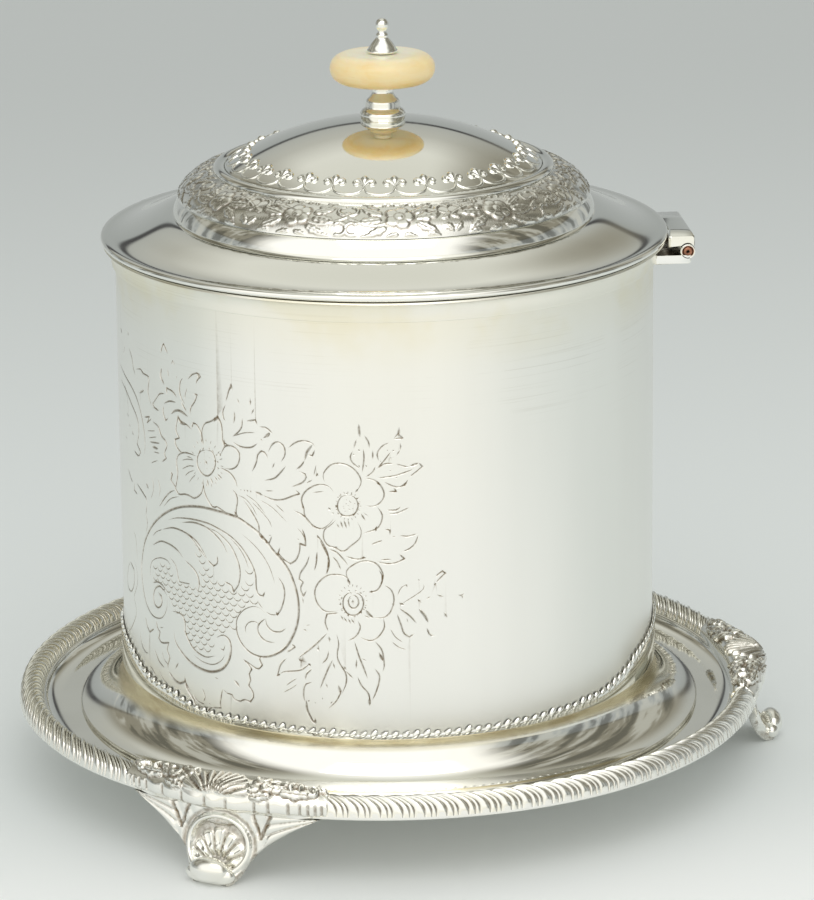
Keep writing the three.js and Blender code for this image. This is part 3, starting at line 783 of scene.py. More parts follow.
CUT_WIDTHS = {"t": 0.62, "n": 1.0, "b": 1.5}
ENGRAVING = {
    "cartouche": (
        ("b", 39.5,58.1, 39,54.3, 36.4,51.3, 32,50.7, 28.6,52.6, 26.8,55.4, 25.6,59.9, 25.9,64.1,
          28.3,70, 33.4,75.9, 40.2,80.8, 46.7,83.7, 53.4,85.1, 59.5,85.1, 64.7,84.6, 67.8,83.5,
          72.1,81, 75.8,77.1, 79.4,73.2, 81.3,69, 82.3,64.4, 82.1,59.6, 80.8,55.5, 78.6,51.9,
          75.2,49.5, 71.8,48.6, 68.3,49.4, 65.7,51.8, 64.6,54.8, 64.9,57.7, 66.8,60.2, 69.5,61.6,
          71.6,61.5, 73.1,60.4),
        ("n", 35.2,57.9, 36.7,57.3, 36.8,55.3, 35,53.7, 33,54.3, 32.5,56.2, 33.6,58.5, 36,59.8,
          38.2,59.1, 39.5,58.1), ("n", 32.5,59.8, 34.9,60.7, 37.2,60.5, 38.9,59.5),
        ("n", 73.3,59, 71.5,57.5, 70.9,55.8, 71.5,54.3, 73.2,53, 75.7,52.9),
        ("n", 73.3,59, 73.5,57.4, 74.9,56, 77,55.9, 78.9,57.1),
        ("t", 67.5,54.1, 67.3,55.7, 68.5,57.3, 70.3,57.7, 71.5,57.1),
        ("t", 76,68.5, 75.6,70, 74.4,73, 72.4,75.9, 69.8,78.3, 66.4,80.5),
        ("n", 76.9,70.5, 78.3,68.3, 78.6,65.6, 77.7,62.3, 76.5,60.4, 76.2,61.2),
        ("t", 76.5,60.4, 74.8,60.2, 73.3,60.8),
        ("n", 73.2,66.1, 72.6,64.8, 71.3,65.1, 70.7,66.9, 70.5,70.5, 68.9,73.8, 66.3,77, 63.1,79.2,
          59.4,80.5, 55.4,81.3, 50,81.2, 44.7,80.3, 40.8,78.9),
        ("t", 71,63.4, 71.7,62.3, 72.7,61.3),
        ("n", 37.9,75.6, 42.7,77.2, 47.6,77.1, 51.5,75.8, 54.1,73.5, 55.6,71.5),
        ("t", 46.4,77.3, 49.9,76.2, 52.5,74, 53.5,71.8),
        ("n", 55.6,71.5, 57.6,70.3, 58.9,71.3, 58.9,73.3),
        ("n", 46.5,79.5, 51.1,80.5, 55.3,80.1, 58.3,78.7, 60.7,76.8, 62.3,74.3),
        ("n", 55.9,80.2, 59.3,79.3, 63.1,76.8, 65.3,73.2, 66,70.2, 65.5,66.9, 63.9,64.6, 63.3,66.1,
          61.1,66.8), ("t", 63.1,78.8, 65.8,76.5, 67.6,74, 68.6,71.4),
        ("t", 50.9,74.9, 53,73.7, 55.1,71.8),
        ("n", 32.7,70, 37,72.2, 41.2,72.4, 44.4,71.6, 46.7,70.1),
        ("t", 32.8,72.5, 34.9,74.2, 37.9,75.6),
        ("n", 47.3,69.7, 50.7,68, 52.3,66, 52.4,63.6, 51.8,61.9),
        ("t", 41.1,69, 43.6,67.2, 44.4,64.6, 45,63.3, 49.4,63.7),
        ("t", 31.3,60.7, 31,63.1, 32.4,65.7, 36.1,67.5, 39.6,67.8, 41.9,66.4),
        ("n", 41.7,54.6, 44.9,54.8, 46.7,53.4, 46.9,50.6, 48,48.5, 50.5,46.2, 54.3,45.3, 57.4,46.2),
        ("b", 42.2,49, 42.7,46.7, 45.1,44.5, 48.6,42.6, 52.5,41.7, 56.2,41.7, 59.8,43.2, 62,45.9,
          62.8,49.3, 62.2,51.6, 60.3,52.4, 58.3,51.4), ("t", 59.2,48.6, 60.4,48.4, 61,49.9),
        ("t", 49.9,44.9, 53.1,43.8, 56.8,43.8, 59.6,45.4, 60.9,47.3),
        ("n", 27.4,49.4, 28.2,47.1, 29.9,45.6, 32.4,47.2),
        ("n", 23.4,44, 24.2,41, 26.7,39.3, 28.8,39.5),
        ("n", 33.6,49.9, 34.3,48.1, 35.6,47.3, 34.8,45.4, 36.4,44.6, 39.7,45.5, 38.9,43.3, 40,41.5,
          39,39.2, 39.3,37.7), ("t", 35.5,48.4, 37.3,49),
        ("b", 39.3,37.7, 41.6,36.2, 44.2,35.7, 46.4,36.7, 47.2,34.9, 49.4,32.6, 50.2,29.9,
          52.1,28.7, 52.9,27.1, 54.5,27.7, 55.2,29.9, 56.4,31.2),
        ("n", 56.4,31.2, 59.2,32.2, 59,34, 59.5,36.5, 59.9,37.8),
        ("n", 59.9,37.8, 61.5,36.9, 62.7,37, 63.4,35.9, 65.3,35.6, 66.6,36.3, 68.4,36, 69.4,37.6,
          69,39.1, 68,40.4, 68.6,41.9, 68.2,43.4, 69,44.8, 67.8,46.2, 66.5,47.1),
        ("n", 66.5,47.1, 69.1,45.8, 70.8,45.2, 72.1,46.4, 71.3,47.9, 71.6,48.6),
        ("n", 46.1,38.3, 46.7,36.4, 48.4,34.8), ("n", 52.9,36.5, 53.8,34.4, 53.1,32.8),
        ("n", 42.4,39.1, 43.8,41.1), ("b", 63.5,41, 64.4,40.3, 65.3,39.4),
        ("t", 54.9,33.1, 55.9,32.3), ("t", 57.2,40.5, 58.7,40.2),
        ("n", 49.5,34.2, 51.1,32.2, 53.8,31.6), ("t", 51,30.1, 53.8,30, 55.4,31.2),
        ("n", 25.6,37.3, 26.4,34.6, 30.1,34.1, 31.8,32.2, 35.7,30.4, 39.3,30.7),
        ("n", 32.3,41.8, 34.6,39.2, 37.5,38), ("t", 36.3,42.5, 37.3,40.4, 39.4,39.3),
        ("n", 9.3,38.2, 11.4,36.4, 16.7,35.2, 20.7,33.6, 25.7,31.5),
        ("t", 17.3,40.8, 19.8,37.9, 25,36.3), ("n", 29.4,36.4, 31.9,35.1, 33.4,32.2),
        ("t", 34.5,36.7, 36.7,34.8, 40.8,33.2), ("n", 21.7,30.6, 24.5,29.9, 28.1,27.7),
        ("n", 28.3,31.5, 31,33.6, 34.3,34.2), ("n", 26.3,33.4, 30.1,32.9, 31.7,30.5, 34.1,29.6),
        ("n", 16.4,60.8, 19.5,59.7, 19.7,56.5, 17.1,53, 13.7,52.6, 12.1,54.9, 14.2,58.9, 16.4,60.8),
        ("t", 20.1,62.4, 22,60.1, 22.1,56.4, 19.2,52.2, 20.3,50.1, 20.7,47.7, 15.9,42.5, 9.4,38.7),
        ("t", 20.2,70.4, 21.9,68.6, 22.3,65.9, 22.6,63.1), ("t", 29.3,77.6, 30,74.9, 28.9,72.2),
    ),
    "acanthus from flower one to the cartouche": (
        ("n", 67.5,89.3, 70,86.2, 71.7,83.3, 72,80.6, 74.5,78.9, 75.4,81),
        ("t", 74.4,80.9, 75.2,81.2),
        ("n", 77.6,78.3, 77,76.7, 78.6,75.1, 80.2,74.2, 81.8,75.4, 82.8,77.8, 82.9,79.8, 84.4,79.4,
          84.3,81.5, 83.5,83.8), ("t", 69.7,89.3, 72.6,86.9, 74.7,84.8, 75.5,83),
        ("t", 72.3,90, 75.6,88.4, 78,86.4, 79.6,85),
        ("n", 87.6,82.3, 88.9,80.3, 90.2,77.2, 90,73.7, 89.5,72.1),
        ("n", 87.3,77.8, 87.1,75, 86.6,73),
        ("n", 85.4,76.9, 84.5,74.5, 82.9,72, 82.6,70.4, 83.6,69.7, 82.9,68, 83.6,66.1, 84.5,67.6),
        ("n", 83.6,64.1, 83.4,65.7), ("t", 82.3,81.1, 82.7,80.6),
    ),
    "flower one": (
        ("n", 55.1,101.5, 54.6,103.8, 54,105.1, 52.7,106.5, 51.5,106.7, 50.8,104.9),
        ("n", 50.8,104.9, 49,105.8, 46.8,106.3, 45.8,107.3, 44.9,104.4, 45,103, 46.1,101.7,
          44.4,101, 44.6,99.6, 46,98.4, 47.3,98), ("b", 45.8,107.2, 46.8,105.9, 49,105.8),
        ("n", 54.6,101.6, 54.5,104.9, 55.5,107.2, 57.9,108.4, 59.9,109.9, 61,108.2, 61.3,106,
          61.4,103.9, 61.9,102.5, 60.9,100.5), ("b", 58.6,108.3, 59.9,109.8, 60.4,108.4),
        ("n", 60.5,99.9, 62.2,102.5, 64.4,102.8, 66.2,101.7, 66.5,100.1, 65.6,97.9, 63.8,96.8,
          61.7,96.8), ("n", 60.4,96.7, 63.4,95.8, 65,94.2, 65.7,92.3),
        ("n", 64.1,91.5, 65.2,90.6, 65.6,88.8, 65.1,86.1, 65.3,84.7, 63.1,84.7, 60.5,85.7,
          58.9,86.2, 57.9,85.8, 56.3,87.2, 55,89.5, 54.7,92.4),
        ("b", 64.6,85.9, 65.3,84.8, 64.4,84.8),
        ("n", 54.8,92.8, 54.5,90.2, 53.5,88.3, 51.4,87, 49.4,87.3, 47.8,87.3, 45.5,86.8, 44.1,88,
          44.8,90.4, 45.2,92.7, 44.8,94.8, 45.3,96.8, 47.6,98.2, 50.3,98.4, 52.4,98.2),
        ("n", 55.9,100.5, 57.9,100.3, 58.9,98.3, 58.4,95.8, 56.6,93.9, 54.6,93.9, 53,95.4,
          52.7,97.5, 53.8,99.6, 55.9,100.5), ("b", 55.5,97.7, 56.2,96.7),
        ("b", 60,100.1, 60.8,99.9), ("t", 51.7,95.5, 49.6,95.1, 46.9,93.7),
        ("t", 51.7,94.4, 49.6,93.4, 47.9,92), ("t", 52.2,93.4, 50.6,92, 49.5,90.6),
        ("t", 51.5,96.9, 49.2,96.8, 47,96), ("t", 48.7,97.5, 50.8,97.4), ("n", 56,93, 56.5,90.9),
        ("n", 57.1,93.6, 58.1,91.8), ("n", 58.3,94.2, 59.7,92.8), ("n", 59.4,94.9, 61.1,93.7),
        ("n", 54.1,100.4, 53.3,99.1), ("n", 55.1,101.1, 54.6,100.1), ("n", 56.8,101.4, 57,100.5),
        ("n", 57.8,100.9, 58.4,100.1), ("n", 58.9,99.6, 59.7,99.9), ("n", 59.2,98, 60,98),
        ("n", 59.2,96.5, 60.1,96.3),
    ),
    "leaves over flower one": (
        ("n", 38.9,122.3, 39.6,124.2, 40.3,125.1, 41.1,124, 42.1,122.9),
        ("b", 39.2,118.5, 38.6,116.3, 40.3,114.5), ("t", 41.9,119, 42.2,116.7),
        ("t", 45.6,118, 45.3,116.8), ("t", 43.4,120.3, 44.1,121.5, 45,120.3),
        ("n", 37.5,106.9, 35.1,107.4, 34.4,108.1, 36.7,110.4, 38.1,111.6, 40.3,112.1),
        ("n", 41.3,112.1, 41.2,113.8, 43.7,113.4, 45.5,112.2),
        ("n", 39.8,109.4, 42.4,110.6, 45.1,110.8),
        ("n", 39.6,108.8, 39.5,106.9, 40.5,105.1, 41.7,106),
        ("b", 42.9,107.3, 44.7,108.6, 46.9,108.9, 49.6,108),
        ("n", 47.3,111.4, 48.1,110.2, 49.2,109.3),
        ("n", 48.1,117.7, 47,116.6, 46.6,114.3, 47.3,112.3, 48.6,111.1),
        ("t", 49.6,115.6, 48.7,113.3, 48.9,112.2),
        ("n", 49.8,117.7, 51.5,119.3, 53.5,120, 54.4,119.2, 53.2,118.1, 52.9,117),
        ("b", 53.4,119.8, 54,118.6),
        ("n", 51.9,114.4, 53.1,114.3, 52.3,112.5, 50.7,110.4, 50.4,108.5),
        ("n", 62.6,114.2, 63.5,116.9, 64.3,118.8, 64.7,117.3), ("b", 63.7,117.3, 64.4,118.5),
        ("n", 66.1,115.5, 66.7,114.1), ("n", 62.5,113.3, 61.6,111.5, 61.8,109.8, 62.4,109),
        ("n", 65.1,112.1, 65.2,110.3, 64.8,108.8), ("b", 69.9,116, 69.9,114.2),
        ("n", 71.1,113.6, 70.1,111.9), ("n", 67.5,110.6, 67.3,108.4, 66.2,106.8, 64.5,105.4),
        ("n", 68.8,110, 71.3,110.6, 71.8,109.3), ("n", 72.3,108.9, 74.3,108.9, 76.1,107.6),
        ("t", 64.5,105.4, 67.9,106.8, 71.2,107.3),
        ("n", 71.8,104.6, 69.8,103.3, 66.9,103.1, 64.5,104),
        ("b", 73.5,106.2, 75,107.4, 74.6,106.5), ("n", 72.6,105.9, 73.2,105.4),
        ("n", 61.8,104.6, 62,103.2, 63,103),
        ("n", 70.1,97.1, 71.3,99.5, 71.8,101.7, 72.9,102.8, 74,102.3, 74.6,101),
        ("n", 74.8,102.8, 75.8,104.7, 77.3,105.6, 79,104.7, 79.3,102.5, 78.2,100.5),
        ("n", 75.8,98.7, 76.5,100.2), ("n", 73.6,95.2, 76.3,96.1, 78.3,98.1, 79.5,99.6),
        ("n", 80.3,104.4, 82.2,105.9, 84.4,106.5, 86.5,106, 87.2,105.2),
        ("b", 86.6,105.7, 85.1,103.7, 84.5,101.5), ("n", 84.5,101.5, 83.5,100, 82.2,98.9),
        ("n", 85.4,102.9, 86.5,102.8, 87.2,104.4),
        ("n", 83,98.5, 84.6,97.9, 84.7,96.8, 83.5,95.5, 80.9,94.3), ("t", 87.5,100.7, 86.8,97.7),
        ("b", 87.9,98.5, 87.4,97.5), ("n", 86.4,96.6, 84.9,95.6), ("t", 66.5,92, 66.9,91.8),
        ("n", 67.5,91.9, 68,91.8), ("n", 68.5,92, 68.9,91.8), ("n", 69.4,92, 69.8,91.7),
        ("b", 70.8,91.9, 73.1,91.3), ("t", 73.6,92.5, 76.1,92.8),
        ("n", 73.1,91.3, 75.9,90.5, 78.5,90.8, 81.2,92, 83,92.7, 82,93.6),
        ("t", 65.6,90.4, 67.9,89.7, 69.9,87.9, 71.4,85.6), ("t", 67.9,91, 71.1,89.2, 73.8,86.3),
        ("t", 76.4,89.5, 79,87.4),
    ),
    "centre cartouche at the left edge": (
        ("n", 7.9,112.5, 14.8,111, 21.3,109.3, 25.3,106.9, 27.8,103.4, 29.3,99.3, 29.6,95.7,
          28.8,92.5),
        ("n", 9.7,108.5, 15.9,107.1, 20.9,104.7, 24.9,102, 25.8,98.4, 24.4,95.1, 26.7,93.4,
          25.1,92, 22.3,92.6), ("t", 14.6,109, 17.1,105.2, 18,100.9), ("n", 16.7,101.3, 18,100.5),
        ("n", 18.5,98.8, 19.3,98.2), ("b", 20.8,97.5, 21.9,96.7), ("t", 14.4,94.6, 15.8,93.9),
        ("n", 19.9,119.3, 22,117.3, 22.9,114.9, 24.3,113.3), ("t", 15.8,119.1, 13.9,116.3),
        ("b", 11,122.4, 12.8,121.5), ("b", 18.8,123.5, 19.7,122.6),
        ("n", 24.9,115, 27.9,115.7, 29.4,115, 32.2,114.9, 32.7,113.9, 32,111.1, 32.7,109.1,
          33.7,107.4), ("b", 26.8,109.2, 29.8,110.6),
        ("n", 29.7,103.5, 32.4,104.2, 31.2,102.4, 33.6,104),
        ("n", 34.2,103.4, 37,102.7, 38.2,100.7, 40.2,99.7, 40.8,98.4, 39.6,96.2, 40.4,95.1,
          38.4,93.7), ("t", 31.1,100.2, 35.5,101.2), ("t", 31.8,98.5, 36.3,99.8),
        ("n", 32.4,97.6, 37.6,98.4), ("b", 33.8,96.7, 36.7,96.7), ("t", 34.3,95.4, 37.4,95.7),
        ("t", 32.8,92, 36.5,93.7), ("n", 36.6,81.3, 38.7,83.7, 41.4,86.2, 43.9,87.5),
        ("t", 38.6,81.8, 41.9,84.7, 45.5,86.2), ("n", 42.2,92, 42.9,91.4, 42.2,89.8, 44.4,88.2),
        ("n", 16.4,86.1, 18.9,84.2, 20.4,83.6), ("n", 21.9,84.2, 21.4,81.8, 23.8,81.3),
        ("n", 23.5,84.3, 28.2,82.5, 29.9,81.1, 29.1,76.7), ("t", 33.4,88.4, 33.9,85.5, 32.2,82.1),
        ("b", 29.7,85.8, 31.2,84.8), ("t", 36.3,88.7, 37.2,86.3, 36.7,84),
    ),
    "flower two": (
        ("n", 97.2,93.8, 98.4,95.4, 98.7,97.2, 97.5,99.3, 95.8,100.6, 93.7,101.2, 91.4,100.8,
          89.6,99, 89.2,97.5, 89.6,96.2), ("b", 97.2,93.8, 98,94.7),
        ("n", 91.9,93.6, 91,94.8, 89.5,95.5, 87.1,95.2, 84.6,93.5, 83.5,91.3, 84.1,88.9, 84.4,86.9,
          86.6,84.6, 88.7,84.1, 90.5,85.3, 91.8,86.9), ("n", 84.1,88.9, 83.6,89.7),
        ("t", 86.4,93.3, 89.5,93.8),
        ("n", 92.4,86.6, 90.8,85, 89.3,83.7, 89.1,81.5, 90.2,79.8, 92.1,79.3, 93.4,78.5, 94.6,78.7,
          96.1,80, 98.2,81.9, 98.6,84.1, 97.7,86.2), ("b", 92.1,79.6, 92.8,79.1),
        ("n", 99.3,97.5, 101,97.4, 103.1,96.3, 104.4,93.9, 103.9,91.8, 102.1,90.4, 99.8,90.4),
        ("b", 102.9,96.5, 103.3,95.7),
        ("n", 102.7,90.2, 103.9,88.1, 103.5,85.9, 102.3,84.4, 99.1,83.3),
        ("b", 102.5,85.2, 102.2,83.8),
        ("n", 95.4,93.1, 97,92.6, 97.9,90.8, 97.3,88.6, 95.6,87.7, 93.8,87.9, 92.8,89.4, 92.9,91.2,
          93.9,92.7, 95.4,93.1), ("n", 93.1,92.5, 93.6,93), ("n", 94.8,93.4, 95.4,93.5),
        ("n", 96.1,93.4, 96.6,93.1), ("n", 97.4,92.5, 97.9,92), ("n", 98,91.3, 98.2,90.6),
        ("n", 97.9,89.9, 97.8,89.1), ("n", 97,88.2, 96.5,87.7), ("n", 92.7,88.5, 93,87.9),
        ("n", 92.5,90.3, 92.2,89.7), ("b", 90.4,89.7, 91,88.9), ("n", 91.2,88.1, 91.8,88.4),
        ("t", 94.8,91, 95.1,90.7), ("t", 95.7,91.7, 96,91.3), ("t", 94.2,89.8, 94.5,89.4),
        ("t", 95.6,89.5, 96,89.2), ("n", 92.4,85.7, 93.2,84.4), ("n", 93.4,86.4, 94.1,84.3),
        ("n", 94.3,86.6, 95,84.4), ("n", 95.3,86.7, 95.7,84.9), ("n", 98.6,88.4, 99.7,86.5),
        ("t", 99.2,88.7, 100.6,87.5),
    ),
    "leaves beside flower two": (
        ("b", 98.3,111.5, 98.4,109.7, 98.6,108.1), ("n", 97.7,107.5, 97,105.2),
        ("n", 96.7,104.5, 96.1,102.9, 96.7,101.4, 98.5,100), ("n", 99.4,105.1, 99.5,102.4, 99,99),
        ("n", 99.7,108.5, 100.7,106.8, 100.9,105.3), ("n", 101.7,104.8, 101.7,102.4),
        ("n", 98.1,105, 98.5,104.4), ("n", 99.9,101, 100.2,100.3), ("n", 98.1,100.9, 98.5,100.3),
        ("n", 96.7,103.8, 97.3,103.4), ("b", 108.3,110.6, 108.1,108.2),
        ("n", 106.9,107.6, 108,108.9, 109.1,107.8, 106.9,107.6),
        ("n", 105.8,106.7, 104,105.7, 102.8,103.9, 103.2,102), ("b", 108.6,106.4, 108.5,104.8),
        ("n", 108.5,104.8, 107.5,103.2), ("n", 106.1,104.2, 104.3,101.8, 102.8,100.2),
        ("t", 103.5,102.1, 103.7,101.7), ("t", 105.2,104.9, 105.5,104.5),
        ("n", 106.6,104.8, 107.1,104.4), ("n", 105.9,102.8, 106.3,102.6),
        ("n", 102.3,100.6, 101.6,99.1, 99.9,97.8), ("b", 110.7,100.4, 112.1,100.9, 113.1,101.3),
        ("n", 113.1,101.3, 114,100.3, 112.7,99.2, 111.5,98.3, 110.7,97.7),
        ("n", 102.8,100, 104.6,101.2, 106.9,101.3), ("n", 107.5,101.2, 109.2,100.6, 110.7,100.3),
        ("n", 102.8,97.6, 106.9,98.1, 110.4,99.2, 111.7,99.8),
        ("n", 104.5,96.6, 106.8,95.4, 108.6,95.3, 110.3,96.8),
        ("n", 108.6,95.3, 109.6,95.6, 110.3,97.1), ("n", 105.4,94.1, 107.4,94.1, 106.8,95.1),
        ("t", 105.7,99.4, 106.3,99.5), ("t", 107.1,97.5, 107.9,97.8),
        ("n", 105,89.3, 107.4,89.3, 108.5,90.2), ("n", 105.3,88.2, 107.9,88.6, 110.6,89.9),
        ("n", 104.4,84.4, 105.8,84.1, 105.8,82.9), ("t", 106.1,82.4, 107.3,82.5),
        ("n", 108.2,82.7, 110.2,82.4, 112.6,83),
        ("n", 112.8,82.7, 112,80.5, 110.5,79.1, 108.7,78.4), ("n", 101.1,80.4, 103.9,81.5),
        ("n", 108.1,77.8, 109.3,76.6, 107.2,75.6, 104.9,75.4, 102.5,76),
        ("n", 103.4,76.4, 106.1,76.5), ("n", 94.6,77.2, 97.3,76.5, 99.8,76.9),
        ("b", 98.4,77, 99.8,76.9), ("b", 87.4,82.4, 88.1,81.2),
        ("n", 88.1,81.2, 89.2,78.8, 90.3,76.7, 90.4,74.5, 89.8,72.3),
        ("n", 87.4,78, 87.2,75.6, 86.7,73.2), ("n", 90.4,78.9, 92.5,78, 94.6,75.7, 95.2,74.8),
        ("n", 91.3,77, 92.5,75.6, 93.4,73.6), ("n", 81.4,88.3, 84.2,87, 86.6,84.5, 88.8,83.9),
        ("t", 82.3,83.8, 83.8,82.1, 84.4,80, 84.2,79.3, 82.3,79.6),
    ),
    "flower three": (
        ("n", 95.6,69.8, 95.1,71.5, 93,72.3, 89.9,71.9, 87.4,69.6, 86.6,67, 87.4,64.2, 89.4,62.5,
          92.6,62.8), ("b", 95.1,71.1, 95.6,69.8),
        ("n", 95.2,71, 94.8,73.3, 97.2,75.4, 99.9,76.1, 102.5,75.2, 104,72.4, 103.4,69.9),
        ("b", 95,71.3, 95.7,69.8), ("n", 102.9,73.8, 103.8,72, 103.3,69.8, 102.3,68.4, 100.3,67.9),
        ("b", 101.6,68.2, 100.3,67.9),
        ("n", 104.3,69.8, 106,68.4, 106.6,65.8, 105.6,62.6, 103.9,61.3, 101.5,61.3),
        ("n", 106.1,65.1, 106.5,64.4),
        ("n", 103.9,61.2, 104.1,58.6, 102.5,56.1, 100.4,55.2, 98,56.1),
        ("n", 92.7,62.3, 89.7,61.8, 89.2,59.6, 90,57.2),
        ("n", 94.9,55, 97,56.3, 98.1,58.6, 97.5,60.4),
        ("n", 96.5,67.9, 98.3,67.1, 99,65.1, 98.3,62.9, 96.7,61.8, 95,62.1, 93.9,63.9, 94,66.2,
          95.1,67.5, 96.5,67.9),
        ("n", 96,67, 97.1,66.9, 97.8,65.4, 97.5,64.3, 96.7,63.6, 95.7,63.9, 95.2,65, 95.4,66.3,
          96,67), ("b", 95.9,65.4, 96.7,65.2), ("n", 95.1,68, 95.6,68.3), ("n", 96.8,68.4, 97.4,68),
        ("n", 98,68, 98.7,67.3), ("b", 98.7,66.4, 99,65.3), ("n", 99.3,64.2, 99.5,63.5),
        ("n", 98.6,62.9, 98.1,62.4), ("n", 97,61.5, 96.4,61.3), ("n", 95.3,61.6, 94.8,61.7),
        ("n", 93.8,62.8, 93.3,63.1), ("n", 93.3,64.2, 93.1,65.1), ("n", 93.3,65.8, 93.7,66.6),
        ("b", 99.5,63.3, 100.5,61.9, 101.5,61.2), ("n", 99.1,61.9, 100.5,61.1),
        ("n", 93.2,61.7, 93.9,60.3), ("n", 93.9,61.2, 94.9,59.8), ("n", 95,61, 95.8,59.4),
        ("n", 95.8,60.9, 96.7,59.5),
    ),
    "leaves beside and below flower three": (
        ("n", 107.3,62.2, 108.3,59.3, 109,57.1, 110.4,56, 111.6,56.9),
        ("n", 108,63.6, 110.4,61.7, 112.2,59.6), ("b", 112.8,63.3, 114.2,61.6, 115.1,59.7),
        ("n", 114.7,58.3, 115.5,56.4, 116.8,56.1), ("t", 105.6,58.3, 106.9,56.1, 108.7,54.7),
        ("t", 105.9,55, 107.6,53.5, 109.7,52.7),
        ("t", 114,69.9, 113.9,68.4, 111.1,66.4, 108.6,64.9), ("n", 112.6,71.2, 113.1,70.6),
        ("t", 107.4,66.9, 108.4,69, 110.1,70), ("n", 109.5,69.9, 110.1,69.1),
        ("n", 117,71.5, 118.8,72.9, 119.6,72.3, 118.4,71.2, 117.2,70), ("b", 116.9,69.9, 117,69.2),
        ("n", 115.8,66.5, 114.6,65.7), ("b", 112.5,65.9, 113.4,64.9), ("n", 117.4,66.8, 119.2,66),
        ("b", 119.1,62, 120,60.7), ("n", 122.8,66.3, 123.7,66.1, 124.4,66.6),
        ("n", 123.8,66.1, 124,65.3), ("b", 107.9,65.1, 109.1,64.4), ("t", 109.7,61.1, 110.1,59.8),
        ("n", 96.6,54.9, 97.6,51.3, 98.9,47.7, 99.8,45.2),
        ("n", 101.8,55, 103.5,52.5, 104,48.8, 103.6,47), ("b", 102.7,52.1, 103.7,49.8),
        ("n", 101.6,47.9, 102.8,45.6, 102,41.9, 100.9,39.4),
        ("n", 97.3,45.5, 98.2,43.3, 99.9,41.2, 100.4,38.6), ("b", 100.2,40.1, 100.2,38),
        ("n", 97.1,50.2, 96.9,47.7), ("t", 98.1,50.6, 99.7,49.8),
        ("n", 92.1,56.6, 92.6,54, 92.1,51.1, 92.7,49, 94.2,46.5, 94.4,43.9, 93.3,41),
        ("n", 91,49.8, 89.5,46.6, 87.7,42), ("n", 85.6,47, 84.1,45.4, 83.9,43.9),
        ("n", 85.6,43.5, 83.7,42.5, 83.3,39.5, 83.8,38),
        ("b", 84,38.5, 84.2,35.9, 85.4,33.4, 86.2,32), ("b", 86.2,34.1, 86.3,31.9),
        ("n", 84.9,38.7, 84.4,38.1), ("n", 93.3,42.1, 91.9,39.1, 89.7,36.7),
        ("b", 93.8,48.3, 94.4,47.2), ("n", 94.3,47, 96.2,45), ("b", 92.4,43.1, 93,40.6),
        ("n", 89.1,43.5, 89.6,42.2), ("n", 90.8,38.8, 90.3,38), ("t", 86.2,38.3, 86.5,37.8),
        ("t", 88.2,39.7, 88.3,39), ("n", 91,49.2, 91.6,47.3), ("n", 89.7,56.8, 86.4,53.3, 82,49.5),
        ("n", 78.8,49.2, 77.2,47.2, 76.3,44.2), ("b", 76,44.1, 77.1,44.8),
        ("n", 77.1,44.8, 78.2,45.5, 82.3,46.3, 84.2,47.6, 85.2,48.4), ("b", 84.7,48.4, 85.3,47.7),
        ("n", 80.4,53.1, 81.2,52.4, 78.9,50.7), ("b", 90.1,55.9, 90.3,54.5),
        ("n", 90,52.1, 89.6,50.2, 88.3,48.6), ("t", 78.6,41.8, 80.1,43.1, 81.6,44.1),
        ("t", 77.8,39.9, 80,41.3, 81.7,42.6), ("n", 83.4,57.4, 84.5,56.9),
        ("t", 84,58.3, 85.4,58.7), ("b", 82.4,49.1, 82.9,48.8), ("b", 87.1,52.8, 87.5,51.9),
    ),
}

# Outline of the ground of scales in the cartouche
SCALES = ((32.8, 64.8), (36.8, 67.1), (40.9, 66.5), (43.4, 63.9), (49.4, 63.3), (52.2, 63.5),
          (52.0, 67.5), (50.9, 73.7), (53.1, 74.9), (55.1, 71.4), (57.1, 69.4), (59.0, 67.3),
          (62.8, 66.1), (64.1, 64.3), (66.0, 67.0), (67.5, 71.6), (69.3, 72.3), (70.5, 69.3),
          (70.9, 66.2), (71.7, 63.1), (67.2, 60.9), (64.9, 58.1), (64.8, 54.9), (61.5, 52.6),
          (58.5, 51.7), (57.5, 49.4), (58.4, 46.8), (54.3, 45.5), (49.9, 46.1), (47.1, 49.5),
          (45.5, 53.5), (41.7, 54.6), (39.9, 58.2), (35.7, 60.3), (31.7, 60.8))
DRUM_MEAN_R = 70.35
BACK = math.pi * DRUM_MEAN_R


def inside(point, polygon):
    """Whether the point's ray crosses the polygon an odd number of times."""
    x, y = point
    odd = False
    for (x0, y0), (x1, y1) in zip(polygon, polygon[1:] + polygon[:1]):
        if (y0 > y) != (y1 > y) and x < x0 + (y - y0) * (x1 - x0) / (y1 - y0):
            odd = not odd
    return odd


def scale_cuts():
    """Rows of small arcs, staggered like a fish's scales, inside the cartouche."""
    cuts = []
    wide, high = 2.5, 1.55
    for row in range(22):
        z = 44.0 + high * row
        for column in range(20):
            s = 30.0 + wide * (column + 0.5 * (row % 2))
            if all(inside(p, SCALES) for p in ((s, z), (s - 0.9, z + 0.6), (s + 0.9, z + 0.6))):
                arch = [(s + wide * x, z + high * y) for x, y in
                        ((-0.5, 0.62), (-0.36, 0.1), (0, -0.2), (0.36, 0.1), (0.5, 0.62))]
                cuts.append(("t", arch))
    return cuts


